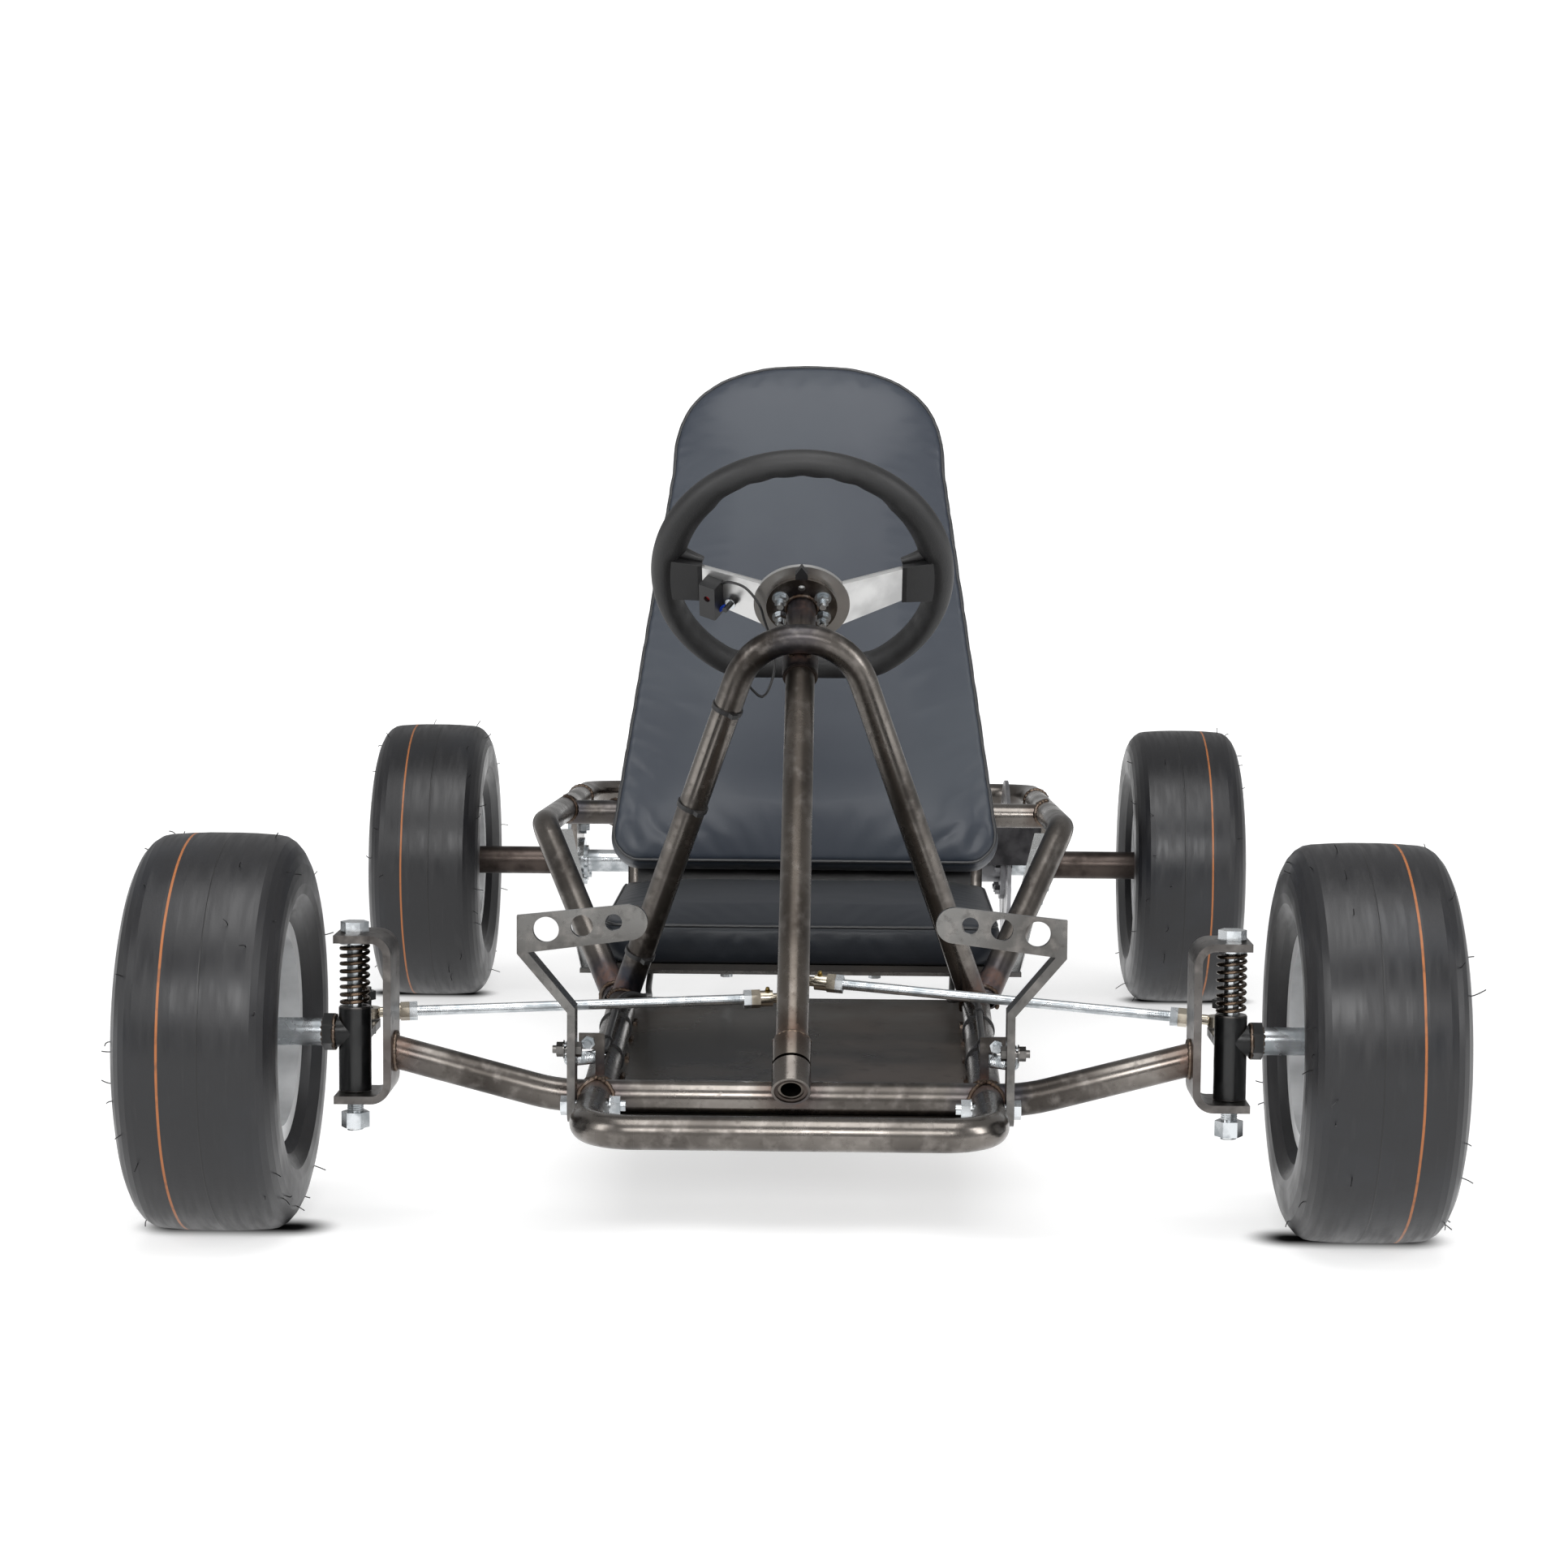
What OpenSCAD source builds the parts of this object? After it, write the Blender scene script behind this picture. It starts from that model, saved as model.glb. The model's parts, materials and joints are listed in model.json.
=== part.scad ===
// Racing kart: welded tube frame, sprung kingpins, live rear axle, bench seat.
// Millimetres. The kart faces -Y and its left side is +X. The ground is z = 0.

/* [Layout] */
// Front axle to rear axle
wheelbase = 1180; // [1100:5:1240]
// Between the centres of the front tyres
front_track = 876; // [860:2:920]
// Between the centres of the rear tyres
rear_track = 840; // [820:2:900]
// Height of the frame's lower tubes above the ground, at their centres
frame_z = 105; // [98:1:112]

/* [Tyres and rims] */
// Outside diameter of a tyre
tyre_d = 306; // [290:1:320]
// Section width of a tyre
tyre_w = 121; // [112:1:126]
// Outside diameter of the rim flanges
flange_d = 172; // [166:1:178]
// Width over the rim flanges
rim_w = 92; // [86:1:96]

/* [Frame tube] */
// Outside diameter of the frame tube
tube_d = 25.4; // [24:0.2:26.4]
// Wall of the frame tube
tube_wall = 2; // [1.6:0.1:3]
// Half the distance between the side rails at the front beam
rail_x = 150; // [146:1:154]
// Reach of the front bumper ahead of the front axle
bumper_reach = 142; // [130:1:160]
// Height of the side tubes at their front bend
knee_z = 249; // [240:1:258]
// Height of the rear loop
loop_z = 212; // [206:1:218]
// Reach of the rear loop behind the rear axle
loop_reach = 220; // [190:5:260]
// Rear edge of the seat cushion to the cross tube
seat_clear = 66; // [60:1:90]
// Thickness of the floor pan sheet
pan_t = 2; // [1.5:0.5:3]

/* [Kingpins] */
// Half the distance between the kingpins
kingpin_x = 337; // [332:1:342]
// Kingpin bolt diameter
kingpin_d = 12; // [11:0.5:12.5]
// Thickness of the kingpin bracket plate
bracket_t = 6; // [5:0.5:7]
// Front to back width of the kingpin bracket
bracket_w = 50; // [44:1:54]
// Outside diameter of the spindle barrel
barrel_d = 25; // [24:0.5:27]
// Length of the spindle barrel
barrel_h = 64.5; // [60:0.5:68]
// Wire of the kingpin spring
spring_wire = 3; // [2.4:0.1:3.2]
// Outside diameter of the kingpin spring
spring_d = 23.6; // [22:0.2:25]
// Diameter of the stub axle
stub_d = 17; // [15:0.5:18]

/* [Steering] */
// Slope of the steering shaft from level, in degrees
column_slope = 37.5; // [36:0.5:39]
// Low end of the steering shaft to the hub disc
shaft_len = 579; // [570:1:590]
// Outside diameter of the steering wheel
wheel_d = 274; // [260:1:284]
// Thickness of the steering wheel's grip
grip_d = 24.5; // [22:0.5:26]
// Dish of the steering wheel, hub disc to rim
dish = 47; // [42:1:52]
// Steering shaft to pitman bolt
pitman_r = 36; // [34:1:40]
// Kingpin to steering arm bolt
arm_r = 60; // [56:1:64]
// Tie rod diameter
tie_d = 8; // [7:0.5:9]

/* [Seat] */
// Width of the seat cushion
seat_w = 378; // [360:2:390]
// Front to back length of the seat cushion
seat_len = 334; // [320:2:340]
// Thickness of the seat cushion
seat_h = 44; // [40:1:48]
// Lean of the backrest from upright, in degrees
back_lean = 20.3; // [19:0.1:22]
// Width of the backrest at its base
back_w = 398; // [380:2:404]
// Height of the backrest along its face
back_h = 548; // [520:2:570]
// Thickness of the backrest pad
back_t = 45; // [40:1:48]

/* [Rear axle] */
// Rear axle diameter
axle_d = 25; // [24:0.5:26]
// Outside diameter of the axle sleeves
sleeve_d = 30.7; // [29:0.1:32]
// Teeth on the sprocket
teeth = 54; // [50:1:56]
// Chain pitch
chain_pitch = 9.525; // [9.525:0.175:9.7]
// Brake disc diameter
disc_d = 190; // [180:1:196]
// Brake disc thickness
disc_t = 4; // [3:0.2:4.4]

/* [Pedals] */
// Pivot to the centre of the foot plate
pedal_h = 134; // [128:1:140]
// Thickness of the pedal plate
pedal_t = 6; // [5:0.5:6.5]
// Length of the foot plate
foot_len = 98; // [92:1:102]

/* [Hidden] */
$fn = 48;

// Clearances
slip = 0.05;      // a shaft that turns in its bore, on the radius
seat_gap = 0.3;   // between pieces of different bodies
weld_gap = 0.02;  // between a coped tube and the tube it meets
bend_gap = 0.02;  // between a bend and the straight that follows it

// Derived places
axle_z = tyre_d / 2;
tube_r = tube_d / 2;
seat_front = 545;
cross_y = seat_front + seat_len + seat_clear;
loop_y = wheelbase + loop_reach;
front_y = -bumper_reach - tube_r;
rear_y = loop_y + tube_r;
mid_y = (front_y + rear_y) / 2;

bracket_in = kingpin_x - 31;
bracket_reach = 44;
bracket_lo = frame_z - 4;
bracket_hi = bracket_lo + 130;
barrel_lo = bracket_lo + bracket_t + 1;
barrel_hi = barrel_lo + barrel_h;
cap_t = 3;
washer_t = 1;
spring_lo = barrel_hi + washer_t;
spring_hi = bracket_hi - bracket_t - cap_t;
head_h = 8;
nut_h = 12;
nut_z = bracket_lo - 22;

wheel_x = front_track / 2;
rear_x = rear_track / 2;
beam_bend = 180;
beam_end_z = frame_z + 33;

collar_d = 30;
collar_bore = 26;
collar_top_d = 31;
column_off = tube_r + collar_d / 2 + weld_gap;
low_end_s = 18.6;
hoop_s = 502;
hoop_off = tube_r + collar_top_d / 2 + weld_gap;
axis_dir = [0, cos(column_slope), sin(column_slope)];
axis_up = [0, -sin(column_slope), cos(column_slope)];
col_low = [0, 0, frame_z] + axis_up * column_off - axis_dir * low_end_s;
hub_t = 4;
hub_d = 63.6;
hub_s = shaft_len;
rim_s = hub_s + dish;
pitman_s = 143;
pitman_t = 5;
ball_h = 9.4;
spacer_t = 2.4;
ball_off = pitman_t / 2 + spacer_t + seat_gap + ball_h / 2;
pivot_d = 8;
arm_t = 6;
arm_z = axle_z - 6;
eye_h = 8;
eye_d = 22;
eye_z = arm_z + arm_t + 1.4 + eye_h / 2;
eye_lift = 6.5;
slide_travel = 10;

hoop_apex = col_low + axis_dir * hoop_s + axis_up * hoop_off;
hoop_foot_y = 465;
hoop_r = 58;

rail_mid_x = rail_x + 22;
rail_mid_y = cross_y - 49;
knee = [250, 650, knee_z];
side_foot = [170, 495, frame_z];
loop_join = 1230;
loop_corner = [264, loop_y, loop_z];
function on_side(y) = knee + (loop_corner - knee) * (y - knee.y) / (loop_corner.y - knee.y);
cross_z = on_side(cross_y).z - 3;
hanger_x = on_side(wheelbase).x;
hanger_t = 6;
bearing_d = 52;
ring_d = 35;

bar_t = 4;
bar_w = 25;
bar_z = frame_z + tube_r;
bar_front_y = seat_front + 22;
bar_rear_y = 790;
board_t = 6;
cushion_z = bar_z + bar_t + board_t;
back_base = [0, 810, 195];
board_back_t = 8;
engine_x = [-60, -200];
plate_z = 236;
plate_t = 6;
plate_y = 1329;
plate_len = 110;

pedal_y = -40;
strap_w = 25;
strap_x = rail_x + tube_r + seat_gap;
disc_x = 224;
sprocket_x = -120;
lever_r = 45;
caliper_y = wheelbase - 76;
caliper_z = axle_z + 34;
cable_d = 6;
cable_z = frame_z + tube_r + cable_d / 2 + seat_gap;
stop_y = 22;
stop_z = frame_z + 38;
tab_x = 149.5;
tab_y = 57;
tab_z = frame_z + 22;
hook_y = pedal_y + 6;
hook_z = frame_z + 32;
clamp_z = frame_z + 43;
left = 1;
right = -1;

steel = "#6f6862";
zinc = "#c9ccce";
black = "#1b1b1d";
alloy = "#c4c4c2";

// Vectors and placing
function unit(v) = v / norm(v);
function turn(a, p, b) = acos(unit(p - a) * unit(b - p));
function setback(pts, r, i) =
    i == 0 || i == len(pts) - 1 ? 0 : r * tan(turn(pts[i - 1], pts[i], pts[i + 1]) / 2);
function flip(p, s) = [p.x * s, p.y, p.z];
function arc(c, r, a0, a1, n) =
    [for (i = [0:n]) let(a = a0 + (a1 - a0) * i / n) c + r * [cos(a), sin(a)]];

module place() { translate([0, -mid_y, 0]) children(); }
module orient(p, q) {
    d = q - p;
    translate(p) rotate([0, acos(d.z / norm(d)), atan2(d.y, d.x)]) children();
}
module rod(p, q, d) { orient(p, q) cylinder(h = norm(q - p), d = d); }
module along_x(x0, x1, y, z, d) {
    translate([min(x0, x1), y, z]) rotate([0, 90, 0]) cylinder(h = abs(x1 - x0), d = d);
}
// Local frame of the steering shaft: z up the shaft, y down the wheel
module on_column(s) { translate(col_low + axis_dir * s) rotate([column_slope - 90, 0, 0]) children(); }
module both() { for (s = [left, right]) mirror([s < 0 ? 1 : 0, 0, 0]) children(); }
module at_side(s) { mirror([s < 0 ? 1 : 0, 0, 0]) children(); }

// Tubes
module ring2d(d, w) { difference() { circle(d = d); circle(d = d - 2 * w); } }
module pipe(p, q, d, w) { orient(p, q) linear_extrude(norm(q - p)) ring2d(d, w); }
module elbow(a, p, b, r, d, w, parts) {
    u = unit(p - a);
    v = unit(b - p);
    t = acos(u * v);
    c = p + unit(v - u) * r / cos(t / 2);
    x = unit(p - u * r * tan(t / 2) - c);
    z = unit(cross(u, v));
    y = cross(z, x);
    multmatrix([[x.x, y.x, z.x, c.x], [x.y, y.y, z.y, c.y], [x.z, y.z, z.z, c.z], [0, 0, 0, 1]])
        for (k = [0:parts - 1]) rotate([0, 0, k * t / parts])
            rotate_extrude(angle = t / parts - (k < parts - 1 ? 0.02 : 0)) translate([r, 0]) ring2d(d, w);
}
function reach(pts, r, i) = i == 0 || i == len(pts) - 1 ? 0 : setback(pts, r, i) + bend_gap;
module bent_pipe(pts, r, d = tube_d, w = tube_wall, parts = 1) {
    n = len(pts);
    for (i = [0:n - 2])
        let(u = unit(pts[i + 1] - pts[i]))
            pipe(pts[i] + u * reach(pts, r, i), pts[i + 1] - u * reach(pts, r, i + 1), d, w);
    for (i = [1:1:n - 2])
        elbow(pts[i - 1], pts[i], pts[i + 1], r, d, w, parts);
}
module cope(p, q, d = tube_d) {
    u = unit(q - p) * 30;
    rod(p - u, q + u, d + 2 * weld_gap);
}

// A tube of a few sides swept along points, for springs and cables
function tangent(p, i) = unit(p[min(i + 1, len(p) - 1)] - p[max(i - 1, 0)]);
function ring_at(p, i, r, n, ref) =
    let(t = tangent(p, i), s = unit(cross(t, ref)), u = cross(t, s))
    [for (k = [0:n - 1]) p[i] + r * (cos(360 * k / n) * s + sin(360 * k / n) * u)];
module sweep(p, d, n, ref) {
    m = len(p);
    pts = [for (i = [0:m - 1]) each ring_at(p, i, d / 2, n, ref)];
    faces = [
        [for (k = [0:n - 1]) k],
        for (i = [0:m - 2]) for (k = [0:n - 1])
            let(a = i * n + k, b = i * n + (k + 1) % n) each [[a, b + n, b], [a, a + n, b + n]],
        [for (k = [n - 1:-1:0]) (m - 1) * n + k]];
    polyhedron(pts, faces);
}
function coil(r, turns, h, steps = 8) =
    [for (i = [0:turns * steps]) let(a = 360 * i / steps) [r * cos(a), r * sin(a), h * i / (turns * steps)]];

// Closed skin through stacked outlines with equal numbers of points
module skin(layers) {
    n = len(layers[0]);
    m = len(layers);
    faces = [
        [for (k = [0:n - 1]) k],
        for (i = [0:m - 2]) for (k = [0:n - 1])
            let(a = i * n + k, b = i * n + (k + 1) % n) each [[a, b + n, b], [a, a + n, b + n]],
        [for (k = [n - 1:-1:0]) (m - 1) * n + k]];
    polyhedron([for (l = layers) each l], faces);
}

module hex(af, h) { cylinder(h = h, d = af / cos(30), $fn = 6); }
module nut(af, h, d) { difference() { hex(af, h); translate([0, 0, -1]) cylinder(h = h + 2, d = d); } }
// Bolt with its head below z = 0 and its shank up +z
module bolt(d, len, af, h) { translate([0, 0, -h]) hex(af, h); cylinder(h = len, d = d); }
module washer(od, id, h) { linear_extrude(h) difference() { circle(d = od); circle(d = id); } }

// Lower frame
beam_pts = [[-bracket_in - 12, 0, beam_end_z + 12 * (beam_end_z - frame_z) / (bracket_in - beam_bend)],
    [-beam_bend, 0, frame_z], [beam_bend, 0, frame_z],
    [bracket_in + 12, 0, beam_end_z + 12 * (beam_end_z - frame_z) / (bracket_in - beam_bend)]];
module front_beam() {
    color(steel) place() difference() {
        bent_pipe(beam_pts, 150);
        both() translate([bracket_in, -tube_d, 0]) cube([60, 2 * tube_d, 300]);
    }
}
module beam_cut() { cope([-beam_bend, 0, frame_z], [beam_bend, 0, frame_z]); }

module bracket_bend(z, a) {
    translate([bracket_in + 16, bracket_w / 2, z]) rotate([90, 0, 0]) rotate([0, 0, a])
        rotate_extrude(angle = 90) translate([16 - bracket_t, 0]) square([bracket_t, bracket_w]);
}
module bracket() {
    leg = bracket_reach - 16;
    difference() {
        union() {
            translate([bracket_in, -bracket_w / 2, bracket_lo + 16])
                cube([bracket_t, bracket_w, bracket_hi - bracket_lo - 32]);
            bracket_bend(bracket_hi - 16, 90);
            bracket_bend(bracket_lo + 16, 180);
            for (z = [bracket_lo, bracket_hi - bracket_t])
                translate([bracket_in + 16, -bracket_w / 2, z]) cube([leg, bracket_w, bracket_t]);
        }
        translate([kingpin_x, 0, bracket_lo - 1])
            cylinder(h = bracket_hi - bracket_lo + 2, d = kingpin_d + 0.2);
    }
}
module kingpin_brackets() { color(steel) place() both() bracket(); }

module front_bumper() {
    color(steel) place() difference() {
        bent_pipe([[-rail_x, 0, frame_z], [-rail_x, -bumper_reach, frame_z],
            [rail_x, -bumper_reach, frame_z], [rail_x, 0, frame_z]], 38);
        beam_cut();
        along_x(-rail_x - tube_d, rail_x + tube_d, pedal_y, frame_z, pivot_d + 0.2);
    }
}

rail_top = [rail_mid_x + 3, cross_y, cross_z];
rail_pts = [[rail_x, 0, frame_z], [rail_mid_x, rail_mid_y, frame_z], rail_top];
module side_rails() {
    color(steel) place() difference() {
        both() {
            bent_pipe(rail_pts, 55);
            // Cable stop and spring tab
            translate([rail_x - 4, stop_y + 3, frame_z]) rotate([90, 0, 0]) linear_extrude(3)
                polygon([[0, 0], [7, 0], [7, stop_z - 5.4 - frame_z], [20, stop_z - 5.4 - frame_z],
                    [20, stop_z + 7 - frame_z], [0, stop_z + 7 - frame_z]]);
            translate([tab_x, tab_y - 7, frame_z]) cube([3, 14, 29]);
        }
        both() rod(rail_pts[0], rail_pts[1], tube_d - 2 * tube_wall);
        both() translate([rail_at(0) + 8, stop_y - 1, stop_z]) rotate([-90, 0, 0])
            cylinder(h = 5, d = cable_d + 0.2);
        both() along_x(tab_x - 1, tab_x + 5, tab_y, tab_z, 4);
        beam_cut();
        cope([-knee.x, cross_y, cross_z], [knee.x, cross_y, cross_z]);
        for (y = [bar_front_y, bar_rear_y], s = [left, right])
            translate([s * (bar_bolt_x(y)), y, frame_z]) cylinder(h = tube_d, d = 6.2);
    }
}
rail_ties = [160, 320];
function rail_at(y) = rail_x + (rail_mid_x - rail_x) * y / rail_mid_y;
function bar_bolt_x(y) = rail_at(y);

module side_tubes() {
    color(steel) place() difference() {
        both() bent_pipe([side_foot, knee, on_side(loop_join)], 45);
        both() cope(rail_pts[0], rail_pts[1]);
    }
}

module rear_loop() {
    color(steel) place()
        bent_pipe([flip(on_side(loop_join), right), flip(loop_corner, right), loop_corner,
            on_side(loop_join)], 50);
}

module rear_cross_tubes() {
    color(steel) place() {
        difference() {
            pipe([-knee.x, cross_y, cross_z], [knee.x, cross_y, cross_z], tube_d, tube_wall);
            both() cope(knee, loop_corner);
        }
        for (x = engine_x)
            difference() {
                pipe([x, cross_y, cross_z], [x, loop_y, loop_z], tube_d, tube_wall);
                cope([-knee.x, cross_y, cross_z], [knee.x, cross_y, cross_z]);
                cope([-knee.x, loop_y, loop_z], [knee.x, loop_y, loop_z]);
            }
    }
}

// The hoop lies in a plane through its feet on the rails and its top over the shaft
hoop_foot = [rail_at(hoop_foot_y), hoop_foot_y, frame_z];
hoop_run = norm(hoop_apex - [0, hoop_foot_y, frame_z]);
hoop_w = (hoop_apex - [0, hoop_foot_y, frame_z]) / hoop_run;
function corner_h(n, h) =
    n == 0 ? h : corner_h(n - 1, hoop_run - hoop_r + hoop_r / sin(atan(hoop_foot.x / h)));
hoop_corner = [0, hoop_foot_y, frame_z] + hoop_w * corner_h(12, 480);
module steering_hoop() {
    color(steel) place() difference() {
        bent_pipe([flip(hoop_foot, right), hoop_corner, hoop_foot], hoop_r, parts = 3);
        both() cope(rail_pts[0], rail_pts[1]);
    }
}

pan_z = frame_z - tube_r - pan_t;
module floor_pan() {
    y0 = -tube_r;
    y1 = 575;
    color("#4a4744") place() translate([0, 0, pan_z]) linear_extrude(pan_t - weld_gap) difference() {
        polygon([[-rail_at(y0), y0], [rail_at(y0), y0], [rail_at(y1), y1], [-rail_at(y1), y1]]);
        for (s = [left, right], y = rail_ties)
            translate([s * (rail_at(y) - 8), y + 2]) square([18, 5.6], center = true);
    }
}

// Steering column bearings
module column_collars() {
    color(steel) place() {
        on_column(0) washer(collar_d, collar_bore, 24);
        on_column(hoop_s - 18) washer(collar_top_d, tube_d + 3, 36);
    }
}
spigot_d = 20;
module column_bushes() {
    color("#e6e4dc") place() {
        on_column(1) washer(collar_bore - 0.1, spigot_d + 2 * slip, 22.6);
        on_column(hoop_s - 19.4) washer(tube_d + 2.9, tube_d + 2 * slip, 38.8);
    }
}

// Seat
module seat_bars() {
    color("#8d8a86") place() for (y = [bar_front_y, bar_rear_y])
        translate([0, y, bar_z + weld_gap]) linear_extrude(bar_t - weld_gap) difference() {
            square([2 * (y == bar_front_y ? stay_x + 10 : rail_at(y) + 15), bar_w], center = true);
            for (s = [left, right]) translate([s * bar_bolt_x(y), 0]) circle(d = 6.2);
            for (s = [left, right]) translate([s * 70, 0]) circle(d = 6.2);
        }
}
module seat_board() {
    color("#8a6a45") place() difference() {
        translate([-seat_w / 2 + 8, seat_front + 6, bar_z + bar_t])
            cube([seat_w - 16, seat_len - 12, board_t]);
        for (y = [bar_front_y, bar_rear_y], s = [left, right]) {
            translate([s * 70, y, bar_z]) cylinder(h = 20, d = 6.2);
            translate([s * bar_bolt_x(y), y, bar_z]) cylinder(h = 20, d = 14);
        }
    }
}
// Outline of a cushion: a rectangle with rounded corners, drawn in between them
function pillow(w, l, r, pull, n = 8) =
    let(c = [[1, 1], [-1, 1], [-1, -1], [1, -1]])
    [for (q = [0:3]) for (i = [0:n]) let(a = 90 * q + 90 * i / n,
        x = c[q].x * (w / 2 - r) + r * cos(a), y = c[q].y * (l / 2 - r) + r * sin(a))
        [x * (1 - pull * pow(cos(180 * y / l), 2)), y * (1 - pull * pow(cos(180 * x / w), 2))]];
module seat_cushion() {
    // inset, height share: straight sides, the edge seam, then a crowned top
    steps = [[5, 0], [1, 0.1], [0, 0.5], [2, 0.86], [9, 0.9], [28, 0.965], [70, 0.993], [120, 1]];
    color(black) place() translate([0, seat_front + seat_len / 2, cushion_z + seat_gap])
        skin([for (s = steps) [for (p = pillow(seat_w - 2 * s[0], seat_len - 2 * s[0],
            max(30 - s[0] * 0.2, 8), 0.012)) [p.x, p.y, s[1] * seat_h]]]);
}
// Half width of the backrest at a height up its face
taper = 0.137;
shoulder_h = back_h - 118;
function back_half(s) = back_w / 2 + 4 - taper * s;
function back_edge() = concat(
    [for (a = [0:15:90]) [back_half(30) - 30 + 30 * sin(a), 30 - 30 * cos(a)]],
    [for (s = [130:100:shoulder_h]) [back_half(s), s]],
    [for (k = [0:9]) let(t = 1 - pow(1 - k / 9, 1.8))
        [back_half(shoulder_h) * pow(1 - pow(t, 2.6), 1 / 2.4), shoulder_h + 118 * t]]);
function back_outline(inset) =
    let(e = back_edge(), c = back_h * 0.47, kx = 1 - 2 * inset / back_w, ky = 1 - 2 * inset / back_h,
        h = [for (p = e) if (p.x > 0.5) [p.x * kx, c + (p.y - c) * ky]])
    concat(h, [[0, c + (back_h - c) * ky]], [for (i = [len(h) - 1:-1:0]) [-h[i].x, h[i].y]]);
// Local frame of the backrest: y up its face, z forward out of it
module on_back(depth) {
    translate([0, back_base.y, back_base.z]) rotate([90 - back_lean, 0, 0])
        translate([0, 0, -depth]) children();
}
module backrest_pad() {
    steps = [[6, 0], [1, 0.1], [0, 0.5], [2, 0.86], [9, 0.93], [26, 1.02], [60, 1.08], [110, 1.12]];
    color(black) place() on_back(back_t)
        skin([for (s = steps) [for (p = back_outline(s[0])) [p.x, p.y, s[1] * back_t]]]);
}
back_bolts = [[90, 170], [90, 400]];
module backrest_board() {
    color("#2b2a29") place() difference() {
        on_back(back_t + seat_gap + board_back_t) linear_extrude(board_back_t)
            polygon(back_outline(8));
        for (b = back_bolts, s = [left, right])
            on_back(back_t + 60) translate([s * b.x, b.y, 0]) cylinder(h = 70, d = 6.2);
    }
}
// The frame's tubes run straight up behind the board
frame_d = 20;
frame_off = back_t + seat_gap + board_back_t + frame_d / 2 + 0.1;
function back_point(x, s) = back_base + [x, sin(back_lean) * s + cos(back_lean) * frame_off,
    cos(back_lean) * s - sin(back_lean) * frame_off];
module backrest_frame() {
    lo = back_point(90, 105);
    hi = back_point(90, 430);
    base = [90, cross_y, cross_z];
    color(steel) place() difference() {
        bent_pipe([base, lo, hi, flip(hi, right), flip(lo, right), flip(base, right)], 30, frame_d, 1.5);
        cope([-knee.x, cross_y, cross_z], [knee.x, cross_y, cross_z]);
        for (b = back_bolts, s = [left, right])
            on_back(back_t + 60) translate([s * b.x, b.y, 0]) cylinder(h = 70, d = 6.2);
    }
}

// Bright strips from the seat bar up to the side tubes
stay_x = seat_w / 2 + 9;
stay_lo = [stay_x, bar_front_y, bar_z + bar_t];
stay_hi = [236, 700, 232];
module side_stays() {
    color("#d5d5d3") place() difference() {
        both() orient(stay_lo, stay_hi) translate([-1.5, -10, -14]) cube([3, 20, norm(stay_hi - stay_lo) + 22]);
        both() cope(knee, loop_corner);
        both() cope(side_foot, knee);
        translate([-300, bar_front_y - 100, 0]) cube([600, 200, bar_z + bar_t + weld_gap]);
    }
}

// Rear axle carriers
module hanger_holes(d) {
    for (a = [90:120:330])
        translate([0, 38 * cos(a), 38 * sin(a)]) rotate([0, 90, 0]) cylinder(h = 60, d = d, center = true);
}
module axle_hangers() {
    color(steel) place() difference() {
        for (k = [left, right]) at_side(k) translate([hanger_x - hanger_t / 2, wheelbase, axle_z])
            rotate([90, 0, 90]) linear_extrude(hanger_t) difference() {
                union() {
                    circle(d = 98);
                    polygon([[-49, 0], [49, 0], [60, 75], [-60, 75]]);
                    if (k == left) polygon([[-40, 20], [-40, 57], [-112, 57], [-112, 34], [-80, 20]]);
                }
                circle(d = bearing_d + 0.4);
            }
        both() cope(knee, loop_corner);
        both() translate([hanger_x, wheelbase, axle_z]) hanger_holes(8.4);
        caliper_bolts(8.4, hanger_x - 10, hanger_x + 10);
        translate([-400, loop_join - 200, on_side(wheelbase).z]) cube([800, 400, 60]);
    }
}
module axle_bearings() {
    color(zinc) place() both() translate([hanger_x + hanger_t / 2, wheelbase, axle_z]) rotate([0, 90, 0])
        difference() {
            union() {
                translate([0, 0, weld_gap]) cylinder(h = 3, d = 92);
                translate([0, 0, -11]) cylinder(h = 18, d = bearing_d);
            }
            translate([0, 0, -20]) cylinder(h = 40, d = ring_d);
            for (a = [0:120:240]) rotate([0, 0, a + 180]) translate([38, 0, -1]) cylinder(h = 6, d = 8.4);
        }
}

slot_x = [-92, -168];
slot_gap = 70;
slot_len = 28;
slot_w = 8.5;
module engine_plate() {
    w = abs(engine_x[1] - engine_x[0]) + plate_t;
    xc = (engine_x[0] + engine_x[1]) / 2;
    color(steel) place() difference() {
        union() {
            translate([xc - w / 2, plate_y - plate_len / 2, plate_z]) cube([w, plate_len, plate_t]);
            for (x = engine_x)
                translate([x - plate_t / 2, plate_y - plate_len / 2, loop_z]) cube([plate_t, plate_len, plate_z - loop_z]);
        }
        for (x = engine_x) cope([x, cross_y, cross_z], [x, loop_y, loop_z]);
        for (x = engine_x) translate([x - 20, 0, 0]) cube([40, 2000, loop_z + 8]);
        for (x = slot_x, y = [-slot_gap / 2, slot_gap / 2])
            translate([x, plate_y + y, plate_z - 1]) linear_extrude(plate_t + 2) union() {
                square([slot_w, slot_len - slot_w], center = true);
                for (e = [-1, 1]) translate([0, e * (slot_len - slot_w) / 2]) circle(d = slot_w);
            }
    }
}

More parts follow.
